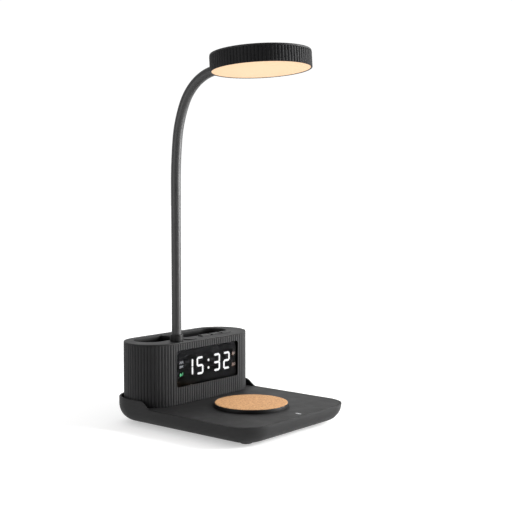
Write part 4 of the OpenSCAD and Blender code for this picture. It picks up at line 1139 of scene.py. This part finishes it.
for piece, finish, cad, slot_name in ((head_wall(), charcoal_head, "head_shell", "charcoal_plastic"),
                                      (head_cap(), charcoal_deck, "head_top", "charcoal_plastic"),
                                      (opal_disc(), opal_finish, "diffuser", "opal_diffuser")):
    piece.data.transform(head_place)
    hand_over(piece, finish, "head", cad)
    print(piece.name + ":", len(piece.data.polygons), "faces")

# %% [markdown]
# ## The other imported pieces
# What stays as the part has it still gets its finish here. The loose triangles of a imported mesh
# are welded and shaded by angle with a small geometry-node tree, so the mesh itself stays as it
# is.

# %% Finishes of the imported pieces
weld_gap, packed_turn = 0.002 * MM, math.radians(28)


def smooth_packed():
    """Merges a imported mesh's loose triangles and shades it smooth except over sharp turns."""
    tree = bpy.data.node_groups.new("smooth_packed", "GeometryNodeTree")
    tree.interface.new_socket("Geometry", in_out="INPUT", socket_type="NodeSocketGeometry")
    tree.interface.new_socket("Geometry", in_out="OUTPUT", socket_type="NodeSocketGeometry")
    into, out = tree.nodes.new("NodeGroupInput"), tree.nodes.new("NodeGroupOutput")
    weld = node(tree, "GeometryNodeMergeByDistance", {"Geometry": into.outputs[0], "Distance": weld_gap})
    all_smooth = node(tree, "GeometryNodeSetShadeSmooth", {"Geometry": weld.outputs[0],
                                                           "Shade Smooth": True}, domain="FACE")
    angle = node(tree, "GeometryNodeInputMeshEdgeAngle").outputs["Unsigned Angle"]
    sharp = node(tree, "FunctionNodeCompare", {"A": angle, "B": packed_turn},
                 data_type="FLOAT", operation="GREATER_THAN").outputs["Result"]
    crisp = node(tree, "GeometryNodeSetShadeSmooth", {"Geometry": all_smooth.outputs[0], "Selection": sharp,
                                                     "Shade Smooth": False}, domain="EDGE")
    tree.links.new(crisp.outputs[0], out.inputs[0])
    return tree


finish_of = {
    charcoal: ["top_plate", "head_socket"],
    foot_rubber: ["base_feet"],
    steel: ["base_screws", "housing_screws", "board_screws", "head_screws", "neck_nut", "core_foot",
            "core_tip", "coin_cell", "power_inlet"] + [f"core_link_{k}" for k in range(1, 12)],
    ballast_steel: ["ballast_plate"],
    copper: ["charging_coil"],
    ferrite: ["ferrite_disc"],
    green_board: ["charger_board", "main_board", "display_board", "key_board"],
    clear_pipe: ["charge_light"],
    flat_lead: ["charger_ribbon", "display_ribbon"],
    black_hidden: ["cell_holder", "buzzer", "tact_switches"],
    module_finish: ["display_module"],
    white_board: ["led_board"],
    led_finish: ["led_chips"],
    white_plastic: ["light_guide"],
}
smoother = smooth_packed()
for finish, names in finish_of.items():
    for name in names:
        packed = frame["nodes"][name]
        packed.data.materials.clear()
        packed.data.materials.append(finish)
        packed.modifiers.new("smooth", "NODES").node_group = smoother
finished = {name for names in finish_of.values() for name in names}
print("without a finish:", set(frame["nodes"]) - stood_for - finished)

# %% [markdown]
# ## Floor, light and camera
# A pale seamless floor under soft light, as in a product studio. The backdrop's light is
# strongest behind the lamp and falls off towards the camera, so that dark plastic gets bright
# edges and shows its ribs. The camera itself sees plain white. The floor glows a little, and more
# so further away, so that it runs into the backdrop without a line.

# %% Floor and backdrop
turn, pitch = math.radians(50.18), math.radians(3.68)
look = Vector((math.sin(turn) * math.cos(pitch), math.cos(turn) * math.cos(pitch), -math.sin(pitch)))
floor_half, glow_near, glow_far = 12.0, 0.3, 1.2


def pale_floor():
    """One large square. Its glow grows in a straight line with the distance from the lamp."""
    corners = floor_half * np.array([[-1, -1, 0], [1, -1, 0], [1, 1, 0], [-1, 1, 0]])
    square = bpy.data.meshes.new("floor")
    square.from_pydata(corners.tolist(), [], [(0, 1, 2, 3)])
    floor = bpy.data.objects.new("floor", square)
    bpy.context.collection.objects.link(floor)
    finish, tree, shader = fresh_finish("pale_floor", (0.68, 0.68, 0.68), 0.9, Specular_IOR_Level=0.0,
                                        Emission_Color=(1, 1, 1, 1))
    away = node(tree, "ShaderNodeVectorMath", {0: place(tree)}, operation="LENGTH").outputs["Value"]
    tree.links.new(spread(tree, away, glow_near, glow_far, 0.42, 0.9), shader.inputs["Emission Strength"])
    floor.data.materials.append(finish)
    return floor


def backdrop():
    """Strength of the world's light by how far its direction agrees with the camera's own line of
    sight at rest. For camera rays it is at least one."""
    world = bpy.data.worlds.new("studio")
    bpy.context.scene.world = world
    world.use_nodes = True
    tree = world.node_tree
    back = tree.nodes["Background"]
    back.inputs["Color"].default_value = (1, 1, 1, 1)
    direction = node(tree, "ShaderNodeTexCoord").outputs["Generated"]
    agreement = node(tree, "ShaderNodeVectorMath", {0: direction, 1: tuple(look)},
                     operation="DOT_PRODUCT").outputs["Value"]
    light = spread(tree, agreement, -0.3, 0.75, 0.06, 1.05)
    seen = node(tree, "ShaderNodeLightPath").outputs["Is Camera Ray"]
    strength = node(tree, "ShaderNodeMath", {0: light, 1: seen}, operation="MAXIMUM").outputs["Value"]
    tree.links.new(strength, back.inputs["Strength"])


pale_floor()
backdrop()
print("floor:", 2 * floor_half, "m square")

# %% [markdown]
# A very wide sun overhead lifts the floor to white, and two soft boxes at the sides draw the
# highlights down the neck and the housing's round end. Each lamp is turned so that its -Z looks
# at the point it is aimed at.

# %% Lamps
def aimed(lamp, where, towards):
    lamp.location = where
    lamp.rotation_euler = (Vector(towards) - Vector(where)).to_track_quat("-Z", "Y").to_euler()
    bpy.context.collection.objects.link(lamp)


def soft_box(name, where, towards, w, h, watts):
    data = bpy.data.lights.new(name, "AREA")
    data.shape, data.size, data.size_y, data.energy = "RECTANGLE", w, h, watts
    aimed(bpy.data.objects.new(name, data), where, towards)


overhead = bpy.data.lights.new("overhead", "SUN")
overhead.energy, overhead.angle = 1.15, math.radians(100)
aimed(bpy.data.objects.new("overhead", overhead), (0, 0, 2), (0.1, 0.1, 0))
soft_box("left_box", (-1.3, 0.25, 0.55), (0, 0, 0.15), 0.35, 1.1, 7)
soft_box("right_box", (0.75, -0.85, 0.42), (0, 0, 0.2), 0.4, 0.8, 34)
bpy.context.scene.view_settings.view_transform = "Standard"
print("lamps:", len(bpy.data.lights))

# %% [markdown]
# The camera stands where the photograph's camera stood: in front of the lamp and to its left, a
# little above its middle, with a long lens. Its direction is the one that the backdrop uses.

# %% Camera
eye_at, lens_mm, sensor_mm = (-0.7767, -0.6831, 0.2426), 69.18, 36


def camera():
    data = bpy.data.cameras.new("camera")
    data.lens, data.sensor_width, data.sensor_fit = lens_mm, sensor_mm, "HORIZONTAL"
    eye = bpy.data.objects.new("camera", data)
    eye.location = eye_at
    eye.rotation_euler = look.to_track_quat("-Z", "Y").to_euler()
    bpy.context.collection.objects.link(eye)
    bpy.context.scene.camera = eye


camera()
